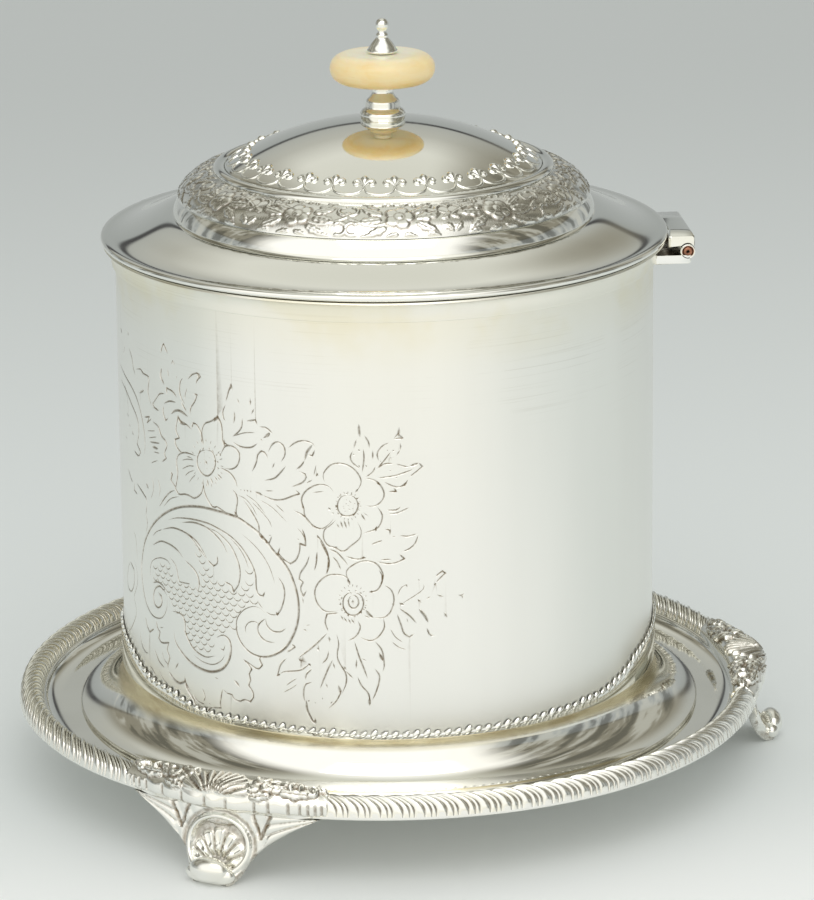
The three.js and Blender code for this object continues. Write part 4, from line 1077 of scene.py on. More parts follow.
def flower_ticks():
    """Short cuts that ring the heart of each flower, and the stipple inside it."""
    cuts = []
    for s, z, r in ((55.9, 97.1, 4.0), (95.4, 90.3, 2.4), (96.3, 65.7, 2.7)):
        for k in range(20):
            a = 2 * math.pi * k / 20
            c, d = math.cos(a), math.sin(a) * 1.15
            cuts.append(("t", [(s + r * 1.12 * c, z + r * 1.12 * d),
                               (s + r * 1.42 * c, z + r * 1.42 * d)]))
        for k in range(9):
            a, out = 2.4 * k, r * 0.26 * math.sqrt(k)
            c, d = out * math.cos(a), out * math.sin(a)
            cuts.append(("t", [(s + c - 0.12, z + d), (s + c + 0.16, z + d + 0.1)]))
    return cuts


def smooth_runs(points):
    """Splits a cut at its sharp corners, and makes each run a smooth even line."""
    corner, spacing = 0.42, 0.8
    p = np.array(points, float)
    runs, start = [], 0
    for i in range(1, len(p) - 1):
        u, v = p[i] - p[i - 1], p[i + 1] - p[i]
        if u @ v < corner * np.hypot(*u) * np.hypot(*v):
            runs.append(p[start:i + 1])
            start = i
    runs.append(p[start:])
    lines = []
    for run in runs:
        length = np.hypot(*np.diff(run, axis=0).T).sum()
        lines.append(curve_through(run, max(3, int(round(length / spacing)) + 1)))
    return lines


def engraved_cuts():
    """Centre lines of all the cuts on one half of the drum, with their widths."""
    unit = sizes().engraving_width / MM
    # The tips below 33 mm are pressed together, to stay above the drum's foot
    squeezed, bottom, lowest, squeeze = 33, 27, 29.9, 0.52
    strokes = [(cut[0], list(zip(cut[1::2], cut[2::2]))) for group in ENGRAVING.values()
               for cut in group]
    out = []
    for weight, points in strokes + scale_cuts() + flower_ticks():
        lines = smooth_runs(points)
        for k, line in enumerate(lines):
            z = line[:, 1]
            line[:, 1] = np.where(z < squeezed, lowest + (z - bottom) * squeeze, z)
            t = np.linspace(0, 1, len(line))
            swell = np.clip(1.25 * np.sin(math.pi * t) ** 0.6, 0, 1)
            if k > 0:
                swell = np.where(t < 0.5, 1.0, swell)
            if k < len(lines) - 1:
                swell = np.where(t > 0.5, 1.0, swell)
            out.append((line, np.maximum(swell, 0.16) * unit * CUT_WIDTHS[weight]))
    return out


def carve(cuts, points):
    """How far each point lies within the edge of a cut, and 0 outside them all."""
    a = np.concatenate([line[:-1] for line, _ in cuts])
    b = np.concatenate([line[1:] for line, _ in cuts])
    w = np.concatenate([np.column_stack((width[:-1], width[1:])) for _, width in cuts])
    depth = np.zeros(len(points))
    along = np.argsort(points[:, 0])
    batch, reach, blunt = 400, 2.5, 0.015
    for k in range(0, len(points), batch):
        rows = along[k:k + batch]
        p = points[rows]
        near = (a[:, 0] > p[:, 0].min() - reach) & (a[:, 0] < p[:, 0].max() + reach)
        if not near.any():
            continue
        aa, d = a[near], b[near] - a[near]
        t = np.clip(((p[:, None] - aa) * d).sum(-1) / np.maximum((d * d).sum(-1), 1e-12), 0, 1)
        gap = np.linalg.norm(p[:, None] - aa - t[..., None] * d, axis=-1)
        half = (w[near, 0] * (1 - t) + w[near, 1] * t) / 2
        depth[rows] = np.max(np.clip(half - gap - blunt, 0, None), axis=1)
    return depth


def wall_radius(z):
    """The drum's radius at a height: it narrows a little to the mouth."""
    share = (np.asarray(z, float) - DRUM_FOOT_Z) / (MOUTH_Z - DRUM_FOOT_Z)
    return DRUM_FOOT_R + (DRUM_MOUTH_R - DRUM_FOOT_R) * share


def engraved_wall():
    """The drum's wall with each cut sunk in it as a groove with a V section."""
    columns, margin = 96, 0.3
    low, high = DRUM_FOOT_Z, MOUTH_Z
    cuts = engraved_cuts()
    points, edges = [], []

    def chain(line):
        first = len(points)
        points.extend(map(tuple, line))
        edges.extend((first + i, first + i + 1) for i in range(len(line) - 1))

    for k in range(columns + 1):
        chain([(BACK * k / columns, low), (BACK * k / columns, high)])
    for z in (low, high):
        chain([(BACK * k / columns, z) for k in range(columns + 1)])
    for line, width in cuts:
        way = headings(line)
        side = np.column_stack((-way[:, 1], way[:, 0])) * width[:, None] / 2
        tips = line[0] - way[0] * width[0] / 2, line[-1] + way[-1] * width[-1] / 2
        for edge in (line + side, line, line - side):
            kept = np.vstack((tips[0], edge, tips[1]))
            kept[:, 0] = np.clip(kept[:, 0], margin, BACK)
            kept[:, 1] = np.clip(kept[:, 1], low + margin, high)
            chain(kept)
    flat, _, triangles, *_ = delaunay_2d_cdt([Vector(p) for p in points], edges, [], 0, 1e-5)
    plan = np.array([tuple(p) for p in flat])
    depth = carve(cuts, plan) * 2 * sizes().engraving_depth / sizes().engraving_width
    both = np.vstack((plan, plan * (-1, 1)))
    sunk = np.concatenate((depth, depth))
    turn = both[:, 0] / DRUM_MEAN_R + math.radians(FRONT)
    outer = polar(wall_radius(both[:, 1]) - sunk, turn, both[:, 1])
    faces = [tuple(f) for f in triangles]
    faces += [tuple(len(plan) + i for i in reversed(f)) for f in triangles]
    total = 2 * columns
    across = np.radians(np.arange(total) * 180 / columns + FRONT)
    rings = [(wall_radius(low), low), (wall_radius(low) - GAUGE, low),
             (wall_radius(high) - GAUGE, high), (wall_radius(high), high)]
    shell = [(r * math.cos(a), r * math.sin(a), z) for r, z in rings for a in across]
    base = len(outer)
    for ring in range(3):
        for k in range(total):
            n = (k + 1) % total
            a, b = base + ring * total + k, base + ring * total + n
            faces.append((a, a + total, b + total, b))
    depths = np.concatenate((sunk, np.zeros(len(shell))))
    mesh = new_mesh("engraved_drum", np.vstack((outer, shell)), faces)
    mark_recess(mesh, np.clip(depths / (0.35 * sizes().engraving_depth / MM), 0, 1))
    tidy_mesh(mesh, 2e-6)
    mesh.materials.append(satin_silver())
    settle(new_object("engraved_drum", mesh), "box", ["drum_wall"], 30)
    true_normals(mesh)


def true_normals(mesh):
    """Exact normals on both faces of the plain wall; the cuts and the rims keep their own."""
    count = len(mesh.vertices)
    where = np.empty(count * 3)
    mesh.vertices.foreach_get("co", where)
    where = where.reshape(-1, 3) - (0, AXIS_Y * MM, 0)
    sunk = np.empty(count, np.float32)
    mesh.attributes["recess"].data.foreach_get("value", sunk)
    taper = (DRUM_FOOT_R - DRUM_MOUTH_R) / (MOUTH_Z - DRUM_FOOT_Z)
    radial = where * (1, 1, 0)
    radial = radial / np.linalg.norm(radial, axis=1)[:, None] + (0, 0, taper)
    normals = np.zeros((len(mesh.loops), 3))
    for face in mesh.polygons:
        loops = list(face.loop_indices)
        corners = list(face.vertices)
        if sunk[corners].max() > 1e-4 or abs(face.normal.z) > 0.5:
            normals[loops] = face.normal
        else:
            outward = np.dot(radial[corners[0]], face.normal)
            normals[loops] = radial[corners] * math.copysign(1, outward)
    mesh.normals_split_custom_set([Vector(n).normalized() for n in normals])


class BISCUIT_OT_drum(bpy.types.Operator):
    """Makes the drum's engraved wall, its floor, foot strip and mouth collar"""
    bl_idname = "biscuit.drum"
    bl_label = "Drum"

    def execute(self, context):
        engraved_wall()
        edge, top = 69.4, 30.2
        turned_piece("drum_bottom", [(0, DRUM_FOOT_Z), (edge, DRUM_FOOT_Z), (edge, top), (0, top)],
                     satin_silver(), "box", ["drum_floor"], 0.2)
        self.foot_strip()
        self.collar()
        return {"FINISHED"}

    def foot_strip(self):
        """A polished band whose edge rises in waves, with a row of small leaves along it."""
        steps = 360
        azimuth = np.arange(steps) * 360 / steps
        foot = DRUM_FOOT_Z - 0.1
        rise = wave_height(azimuth) - foot
        rings = ((70.75, 0.0), (71.3, 0.0), (71.3, 0.55), (71.25, 0.93), (71.1, 1.0), (70.75, 1.0))
        points = np.stack([polar(r, np.radians(azimuth), foot + share * rise)
                           for r, share in rings], 1).reshape(-1, 3)
        faces = grid_faces(steps, len(rings), wrap_columns=True, wrap_rows=True)
        base = new_mesh("foot_band", points, faces)
        leaf_r = 71.4
        count = round(2 * math.pi * leaf_r * MM / sizes().bead_pitch)
        nub, nub_faces = leaf_nub()
        leaves = ring_of("foot_leaves", nub, nub_faces, count, FRONT, 360.0 / count,
                         bright_silver(), weld=0.0)
        # The band takes the second material, the silver with the painted tan reflection.
        leaves.data.materials.append(tan_reflection_silver())
        for polygon in base.polygons:
            polygon.material_index = 1
        bm = bmesh.new()
        bm.from_mesh(leaves.data)
        for vert in bm.verts:
            turned = math.atan2(vert.co.y - AXIS_Y * MM, vert.co.x)
            uneven = 0.8 + 0.16 * math.sin(37 * turned) + 0.12 * math.sin(91 * turned + 1)
            grown = (vert.co.z - NUB_Z * MM) * uneven
            vert.co.z = float(wave_height(math.degrees(turned))) * MM + grown
        bm.from_mesh(base)
        bm.to_mesh(leaves.data)
        bm.free()
        bpy.data.meshes.remove(base)
        tidy_mesh(leaves.data)
        leaves.name = "foot_band"
        settle(leaves, "box", ["foot_strip"])

    def collar(self):
        """A concave moulding round the mouth."""
        foot = MOUTH_Z - 5.5
        hollow = arc(72.9, foot + 0.6, 1.9, 4.6, 180, 90, 14)
        ring = softened([(70.3, foot), (71.0, foot), *hollow, (73.2, MOUTH_Z - 0.6),
                         (72.9, MOUTH_Z), (70.3, MOUTH_Z)], 0.2)
        points, faces = lathe(ring)
        cut_notch("collar", points, faces)


def cut_notch(name, points, faces):
    """The collar is notched where the drum's hinge leaf passes under it."""
    ring = new_object(name, new_mesh(name, points, faces))
    tidy_mesh(ring.data)
    half, top = 14.3, 138.6
    corners = [(x, y, z) for x in (-half, half) for y in (40, PIN_Y) for z in (120, top)]
    sides = [(0, 1, 3, 2), (4, 6, 7, 5), (0, 4, 5, 1), (2, 3, 7, 6), (0, 2, 6, 4), (1, 5, 7, 3)]
    cutter = new_object(name + "_cutter", new_mesh(name + "_cutter", corners, sides))
    tidy_mesh(cutter.data)
    notch = ring.modifiers.new("notch", "BOOLEAN")
    notch.operation = "DIFFERENCE"
    notch.object = cutter
    mesh = evaluated_mesh(ring)
    ring.modifiers.clear()
    ring.data = mesh
    bpy.data.objects.remove(cutter)
    mesh.materials.clear()
    mesh.materials.append(satin_silver())
    settle(ring, "box", ["mouth_collar"])


# Heights of the foot band's edge, from the front at -90 degrees to the hinge at 90
WAVE = ((-90, 40.0), (-81, 38.6), (-72.7, 36.4), (-66, 33.2), (-57, 33.0), (-50.5, 31.2),
        (-46, 30.2), (-41.5, 30.9), (-30, 30.7), (-12, 30.3), (14, 30.3), (35, 31.0), (48, 31.9),
        (56, 34.2), (62, 37.0), (73, 38.8), (82, 40.2), (90, 40.6))


def wave_height(azimuth):
    """Top edge of the foot band, the same on both sides of the box."""
    folded = np.degrees(np.arcsin(np.sin(np.radians(azimuth))))
    at, z = zip(*WAVE)
    near = [np.interp(folded + shift, at, z) for shift in (-3, -1.5, 0, 1.5, 3)]
    return np.mean(near, axis=0)


NUB_Z = 31.0


def leaf_nub():
    """A small pointed leaf that stands on the edge of the foot band."""
    points = []
    columns, rows = 6, 5
    for i in range(columns + 1):
        a = math.pi * i / columns - math.pi / 2
        for j in range(rows + 1):
            b = math.pi * j / rows
            x = 70.95 + 0.58 * math.sin(b) * math.cos(a)
            y = 1.12 * math.sin(a)
            z = NUB_Z + (1.2 * math.cos(b) - 0.1) * math.cos(a) + 0.6 * math.sin(a)
            points.append((x, y, z))
    faces = grid_faces(columns + 1, rows + 1)
    for i in range(columns):
        top, low = i * (rows + 1), i * (rows + 1) + rows
        faces.append((top, top + rows + 1, low + rows + 1, low))
    return points, faces


# Lid

def flange_height(r):
    """The flange rises inwards in an ogee."""
    s = np.clip((FLANGE_OUT_R - r) / (FLANGE_OUT_R - FLANGE_IN_R), 0, 1)
    return float(144.7 + 5.0 * s * s * (3 - 2 * s))


def dome_height(r):
    """Height of the dome, part of a ball, at a radius."""
    return float(DOME_TOP - DOME_BALL_R + math.sqrt(DOME_BALL_R ** 2 - r ** 2))


class BISCUIT_OT_lid(bpy.types.Operator):
    """Spins the lid's flange, bezel, step, relief band, bead ring and dome"""
    bl_idname = "biscuit.lid"
    bl_label = "Lid"

    def execute(self, context):
        bright = bright_silver()
        lip = arc(LIP_R - 0.8, 143.9, 0.8, 0.8, -90, 70, 12)
        ogee = [(r, flange_height(r)) for r in np.linspace(FLANGE_OUT_R, FLANGE_IN_R, 36)]
        under = [(r, flange_height(r) - GAUGE) for r in np.linspace(FLANGE_IN_R, 68.6, 24)]
        turned_piece("flange", [*lip, *ogee, (51.4, 149.7), (51.4, 148.8), *under, (69.5, 143.1)],
                     bright, "lid", ["lid_flange"], 0.2)
        inner, outer, low = 66.9, 67.8, 140.4
        top = flange_height(outer) - 1.2
        turned_piece("bezel_ring", [(inner, low), (outer, low), (outer, top), (inner, top)],
                     bright, "lid", ["lid_bezel"], 0.2)
        step = [(52.2, 149.5), *arc(44.93, 147.46, 10.3, 10.3, 12, 38, 10), (52.4, 154.0)]
        turned_piece("step_ring", step, bright, "lid",
                     ["lid_step_band"], 0.15)
        self.floral_band()
        self.scallop_ring()
        turned_piece("bead_ring", arc(42.6, 161.0, 1.6, 1.35, 0, 345, 22), bright, "lid",
                     ["lid_bead_ring"], 0)
        bore, rim = 1.5, 41.2
        over = [(r, dome_height(r)) for r in np.linspace(bore, rim, 48)]
        under = [(r - GAUGE * r / DOME_BALL_R, dome_height(r) - GAUGE)
                 for r in np.linspace(rim, bore, 30)]
        under[-1] = (bore, under[-1][1])
        turned_piece("dome", [*over, *under], bright, "lid",
                     ["lid_dome"], 0.2)
        return {"FINISHED"}

    def floral_band(self):
        """A convex band with flowers and leaves raised on a punched ground."""
        columns, rows, back_rows = 1152, 50, 8
        azimuth = np.radians(np.arange(columns) * 360 / columns)[:, None]
        line = self.swell(np.radians(np.linspace(0, 90, rows)), 9.7, 6.7)
        way = headings(line)
        run = run_along(line)
        u = np.repeat(azimuth * BAND_R, rows, 1)
        v = np.repeat(run[None, :], columns, 0)
        height, dark = flower_relief(u, v, run[-1])
        height, dark = 0.62 * height, 0.75 * dark
        top = polar(line[:, 0] + height * way[:, 1], azimuth, line[:, 1] - height * way[:, 0])
        inner = self.swell(np.radians(np.linspace(90, 0, back_rows)), 8.8, 5.8)
        back = polar(inner[:, 0], azimuth, inner[:, 1])
        points = np.concatenate((top, back), 1).reshape(-1, 3)
        faces = grid_faces(columns, rows + back_rows, wrap_columns=True, wrap_rows=True)
        recess = np.concatenate((dark, np.zeros((columns, back_rows))), 1).reshape(-1)
        new_piece("flower_band", points, faces, band_silver(), "lid",
                  ["lid_floral_band"], 60, recess)

    def swell(self, theta, rx, rz):
        """The band's section, part quarter ellipse and part straight slope."""
        bow = np.column_stack((np.cos(theta), np.sin(theta)))
        slope = np.column_stack((1 - theta * 2 / math.pi, theta * 2 / math.pi))
        return (43.9, 154.1) + (0.7 * bow + 0.3 * slope) * (rx, rz)

    def scallop_ring(self):
        """Loops of half-round wire that hang from small flowers, round the dome."""
        count = sizes().scallops
        pitch = 360 / count
        points, faces = scallop_motif(2 * math.pi * SCALLOP_R / count)
        wires = ring_of("dome_scallops", points, faces, count, pitch / 2, pitch,
                        bright_silver(), weld=0.0)
        tidy_mesh(wires.data, 1e-7)
        settle(wires, "lid", (), 60)


# Leaves about a flower: root, tip and half width. Scrolls: centre, radius, start and sweep
FLOWER_PITCH = 2 * math.pi * BAND_R / 12
FLOWER_LEAVES = (((4.0, 1.2), (9.3, 4.6), 1.25), ((4.3, -0.4), (10.4, 0.6), 1.35),
                 ((4.0, -1.8), (9.0, -4.8), 1.2), ((-4.2, 0.8), (-9.8, 3.4), 1.3),
                 ((-4.3, -0.8), (-10.2, -1.6), 1.3), ((-3.2, -3.2), (-7.8, -5.4), 1.0),
                 ((11.2, 3.6), (13.4, 5.4), 0.7), ((10.9, -2.6), (12.9, -4.9), 0.8),
                 ((6.0, 5.2), (9.6, 6.0), 0.8), ((6.2, -5.0), (9.9, -6.1), 0.8),
                 ((-6.5, 5.2), (-10.2, 6.0), 0.85), ((-6.0, -5.5), (-10.0, -6.1), 0.8),
                 ((12.8, 0.0), (10.4, -1.1), 0.6), ((-12.9, 0.4), (-10.6, 1.4), 0.6),
                 ((0.3, 4.9), (3.4, 6.0), 0.7), ((-0.5, -4.9), (-3.8, -6.0), 0.7),
                 ((0.9, -5.0), (4.3, -6.0), 0.7), ((-5.0, 3.0), (-8.6, 5.0), 0.8))
FLOWER_SCROLLS = ((11.6, 1.9, 2.0, -40, 250), (-11.4, -3.6, 1.7, 60, 240),
                  (-11.9, 2.2, 1.5, -130, 230), (3.2, 4.9, 1.2, -30, 210),
                  (-2.6, 5.0, 1.1, 10, 200))


def leaf_shape(u, v, at, to, width):
    """Height of a leaf between two points, and the darkness of its outline and veins."""
    way = np.subtract(to, at)
    length = math.hypot(*way)
    way = way / length
    p = ((u - at[0]) * way[0] + (v - at[1]) * way[1]) / length
    q = (u - at[0]) * -way[1] + (v - at[1]) * way[0]
    inner = np.clip(p, 0, 1)
    half = width * np.sin(math.pi * inner ** 0.8) ** 0.8 * (1 + 0.16 * np.sin(inner * 19)) + 1e-6
    share = np.where((p > 0) & (p < 1), np.abs(q) / half, 9.0)
    body = np.clip(1 - share ** 2, 0, 1) ** 0.45
    vein = ridge(q, 0.22) * (share < 1)
    side = 0.5 + 0.5 * np.cos(2 * math.pi * (p * 4.5 - np.abs(q) * 0.5))
    height = 0.55 * body - 0.22 * vein - 0.10 * body * side
    dark = ridge(share - 1.08, 0.26) + 0.7 * vein
    return np.where(share < 1, height, 0), dark * (share < 2)


def flower_relief(u, v, width):
    """Low relief of open flowers among leaves and scrolls, on a punched ground."""
    cell = np.round(u / FLOWER_PITCH)
    x = u - cell * FLOWER_PITCH
    x = np.where(cell % 2 == 0, x, -x)
    y = v - 0.5 * width
    height, dark = np.zeros_like(x), np.zeros_like(x)

    def lay(piece):
        nonlocal height, dark
        over = piece[0] > height
        dark = np.where(over & (piece[0] > 0.05), piece[1], np.maximum(dark, piece[1]))
        height = np.maximum(height, piece[0])

    for at, to, wide in FLOWER_LEAVES:
        lay(leaf_shape(x, y, at, to, wide))
    for cx, cy, r, start, sweep in FLOWER_SCROLLS:
        away, shown = scroll_at(x, y, cx, cy, r, start, sweep)
        lay((0.48 * ridge(away, 0.42) * shown, ridge(np.abs(away) - 0.5, 0.2) * shown))
        end = math.radians(start)
        knob = np.hypot(x - cx - r * math.cos(end), y - cy - r * math.sin(end))
        lay((0.6 * ridge(knob, 0.6), ridge(knob - 0.72, 0.18)))
    vine = y - 2.6 * np.sin(2 * math.pi * x / FLOWER_PITCH)
    lay((0.34 * ridge(vine, 0.38), ridge(np.abs(vine) - 0.5, 0.2)))
    reach = np.hypot(x, y)
    angle = np.arctan2(y, x)
    petal = np.abs(np.cos(2.5 * angle))
    edge = 2.7 + 1.0 * petal ** 0.7
    share = reach / edge
    bowl = np.clip(1 - share ** 4, 0, 1) ** 0.5
    crease = ridge(petal, 0.24) * (reach > 1.2)
    petals = (0.45 + 0.3 * share) * bowl - 0.25 * crease * bowl
    lay((np.where(share < 1, petals, 0), ridge(share - 1.05, 0.12) + 0.6 * crease * (share < 1)))
    heart = ridge(reach, 1.15)
    lay((0.85 * heart, ridge(reach - 1.3, 0.22)))
    punched = 0.5 + 0.5 * np.sin(9.1 * u + 2.0 * np.sin(7.3 * v)) * np.sin(8.3 * v)
    ground = height < 0.03
    fade = ease(v, 0.2, 0.9) * (1 - ease(v, width - 0.9, width - 0.2))
    height = (height - 0.06 * punched * ground) * fade
    return height, np.clip((dark + 0.16 * punched * ground) * fade, 0, 1)


def wire_on_dome(path, radii):
    """A half-round wire laid along a path of (length round the dome, radius) points."""
    section = np.radians([-20, 25, 65, 90, 115, 155, 200])
    line = curve_through(path, len(radii))
    points = []
    for (a, r), (da, dr), thick in zip(line, headings(line), radii):
        for s in section:
            aa, rr = a - dr * thick * math.cos(s), r + da * thick * math.cos(s)
            turn = aa / SCALLOP_R
            lift = thick * 0.8 * math.sin(s)
            slope = rr / DOME_BALL_R
            rise = math.sqrt(1 - slope * slope)
            out = rr + lift * slope
            points.append((out * math.cos(turn), out * math.sin(turn),
                           dome_height(rr) + lift * rise))
    faces = grid_faces(len(radii), len(section), wrap_rows=True)
    last = (len(radii) - 1) * len(section)
    faces.append(tuple(range(len(section))))
    faces.append(tuple(last + k for k in reversed(range(len(section)))))
    return points, faces


def scallop_motif(pitch):
    """One loop of the dome's border, with the small three-lobed flower it hangs from."""
    half = pitch / 2
    drop = ((-1, 37.3), (-0.97, 38.2), (-0.8, 39.3), (-0.45, 40.05), (0, 40.25))
    loop = [(half * x, r) for x, r in (*drop, *[(-x, r) for x, r in drop[-2::-1]])]
    parts = [wire_on_dome(loop, [0.3, 0.36] + [0.40] * 17 + [0.36, 0.3])]
    curl = ((0.05, 37.5), (0.5, 36.7), (1.3, 35.9), (2.25, 35.8), (2.7, 36.5), (2.1, 37.1),
            (1.5, 36.7))
    for side in (-1, 1):
        parts.append(wire_on_dome([(side * x - half, r) for x, r in curl],
                                  [0.3, 0.45, 0.6, 0.68, 0.7, 0.68, 0.62, 0.6, 0.62, 0.66, 0.5]))
    petal = [(-half, 37.2), (-half, 36.2), (-half, 35.2), (-half, 34.2)]
    parts.append(wire_on_dome(petal, [0.4, 0.6, 0.95, 1.2, 1.2, 0.9, 0.4]))
    points, faces, _ = joined(*parts)
    return points, faces


# Finial

# Turned profiles, as shares of a radius and a height
STEM_TURNS = ((1, 0.11), (0.9, 0.23), (0.74, 0.3), (0.72, 0.52), (0.57, 0.61), (0.43, 0.76),
              (0.49, 0.93), (0.49, 1))
CAP_TURNS = ((1, -0.05), (1, 0.03), (0.91, 0.07), (0.85, 0.14), (0.70, 0.24), (0.50, 0.35),
             (0.41, 0.40), (0.41, 0.50), (0.31, 0.55))


def turned_to(turns, radius, foot, height):
    """A turned profile at its size, from a height of foot upwards."""
    return [(r * radius, foot + z * height) for r, z in turns]


class BISCUIT_OT_finial(bpy.types.Operator):
    """Turns the finial's stem, disc and cap, and finishes the fixings inside the lid"""
    bl_idname = "biscuit.finial"
    bl_label = "Finial"

    def execute(self, context):
        bright = bright_silver()
        bore = 1.5
        turned_piece("stem", [(bore, 173.6), (5.5, 173.1),
                              *turned_to(STEM_TURNS, 6.1, 173.8, 8.8), (bore, 182.6)],
                     bright, "lid", ["finial_stem"], 0.5, 96, 60)
        rim = [(8.6 + 5.0 * abs(math.cos(x)) ** 0.8, 186.7 + 3.9 * math.sin(x))
               for x in np.radians(np.linspace(-90, 90, 33))]
        turned_piece("disc", [(bore, 182.8), *rim, (bore, 190.6)], ivory(), "lid",
                     ["finial_disc"], 0.2, 128)
        ball = arc(0, 197.85, 1.75, 1.75, -50, 90, 14)
        ball[-1] = [0.0, ball[-1][1]]
        turned_piece("cap", [(0, 192.9), (bore, 192.9), (bore, 190.8),
                             *turned_to(CAP_TURNS, 3.95, 191.2, 8.4), *ball],
                     bright, "lid", ["finial_cap"], 0.35, 96, 60)
        steel = plain_metal("turned steel", colours().steel, 0.3, 0.7, 700.0)
        for node in ("finial_washer", "finial_nut", "finial_stud"):
            repaint(node, steel)
        return {"FINISHED"}


def repaint(node, material):
    """A CAD node whose shape is right keeps its mesh and takes a finish."""
    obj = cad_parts[node]
    if not obj.material_slots:
        obj.data.materials.append(material)
    for slot in obj.material_slots:
        slot.material = material


# Hinge

LEAF_HALF = 14.0
SPLIT = 5.85


def hinge_leaf(inner, outer, low, high, scooped, above):
    """A leaf of the hinge, with rounded edges and a hollow where the other leaf's knuckles
    turn. scooped tells at which lengths along the pin it is hollow, and above is for the
    leaf that lies over the pin."""
    bend, reach, blunt, corner = 0.35, 2.35, 0.6, 0.18
    ends = ((-LEAF_HALF, bend), (-LEAF_HALF + bend, 0.0))
    left = (*ends, (-SPLIT - 0.01, 0.0), (-SPLIT + 0.01, 0.0))
    steps = [*left, (0.0, 0.0), *[(-x, cut) for x, cut in reversed(left)]]
    sign = 1 if above else -1
    near, far = (low, high) if above else (high, low)
    turns = sign * np.radians(np.linspace(140, 40, 9))
    points, recess = [], []
    for x, cut in steps:
        edge = math.sqrt(inner ** 2 - x ** 2)
        hollow = []
        for turn in turns:
            y, z = PIN_Y + reach * math.cos(turn), PIN_Z + reach * math.sin(turn)
            face = sign * max(sign * z, sign * near) if scooped(x) else near
            hollow.append((min(y, outer - 0.1), face))
        line = [(edge, near), *hollow, (outer, hollow[-1][1]),
                (outer, far - sign * blunt), (outer - corner, far - sign * corner),
                (outer - blunt, far), (edge + blunt, far),
                (edge + corner, far - sign * corner), (edge, far - sign * blunt)]
        mid = np.mean(line, axis=0)
        for k, p in enumerate(line):
            y, z = mid + (np.array(p) - mid) * (1 - cut / (high - low))
            points.append((x, y, z))
            # The hollow's faces, in the gap between the leaves, are marked fully dark: painted
            # shade.
            recess.append(1.0 if cut == 0 and k <= len(hollow) + 1 else 0.0)
    ring = len(points) // len(steps)
    faces = grid_faces(len(steps), ring, wrap_rows=True)
    faces.append(tuple(range(ring)))
    faces.append(tuple(reversed(range(len(points) - ring, len(points)))))
    return points, faces, recess


def about_pin(profile, closed=True, steps=40):
    """Turns a profile of (length along the pin, distance from it) about the pin."""
    turns = [2 * math.pi * k / steps for k in range(steps)]
    points = [(x, PIN_Y + r * math.cos(a), PIN_Z + r * math.sin(a))
              for x, r in profile for a in turns]
    return points, grid_faces(len(profile), steps, wrap_columns=closed, wrap_rows=True)


def knuckle(start, end):
    """A knuckle between two lengths along the pin, with blunt edges."""
    outer, bore, edge = 2.0, 1.4, 0.2
    return about_pin([(start + edge, bore), (start, bore + edge), (start, outer - edge),
                      (start + edge, outer), (end - edge, outer), (end, outer - edge),
                      (end, bore + edge), (end - edge, bore)])


class BISCUIT_OT_hinge(bpy.types.Operator):
    """Makes the hinge's two leaves with their knuckles, and the worn pin"""
    bl_idname = "biscuit.hinge"
    bl_label = "Hinge"

    def execute(self, context):
        lower = hinge_leaf(70.3, 78.7, 135.8, 138.3, lambda x: abs(x) < SPLIT, False)
        points, faces, recess = joined(lower, knuckle(-LEAF_HALF, -6.0), knuckle(6.0, LEAF_HALF))
        new_piece("hinge_leaf_low", points, faces, bright_silver(), "box",
                  ["hinge_lower_leaf"], 40, recess)
        upper = hinge_leaf(74.0, 79.6, 140.3, 143.4, lambda x: abs(x) > SPLIT, True)
        points, faces, recess = joined(upper, knuckle(-5.7, 5.7))
        new_piece("hinge_leaf_top", points, faces, bright_silver(), "lid",
                  ["hinge_upper_leaf"], 40, recess)
        half = [(13.7, 0.0), (13.8, 0.3), (14.05, 0.55), (14.1, 0.8), (14.0, 1.05), (13.8, 1.2)]
        points, faces = about_pin([(-x, r) for x, r in half] + half[::-1], closed=False)
        recess = [1.0 if math.hypot(y - PIN_Y, z - PIN_Z) < 0.4 else 0.0 for _, y, z in points]
        copper = plain_metal("worn copper", colours().copper, 0.28, 0.45, 900.0)
        new_piece("pin", points, faces, copper, "box", ["hinge_pin"], 40, recess)
        return {"FINISHED"}


# Feet and shells

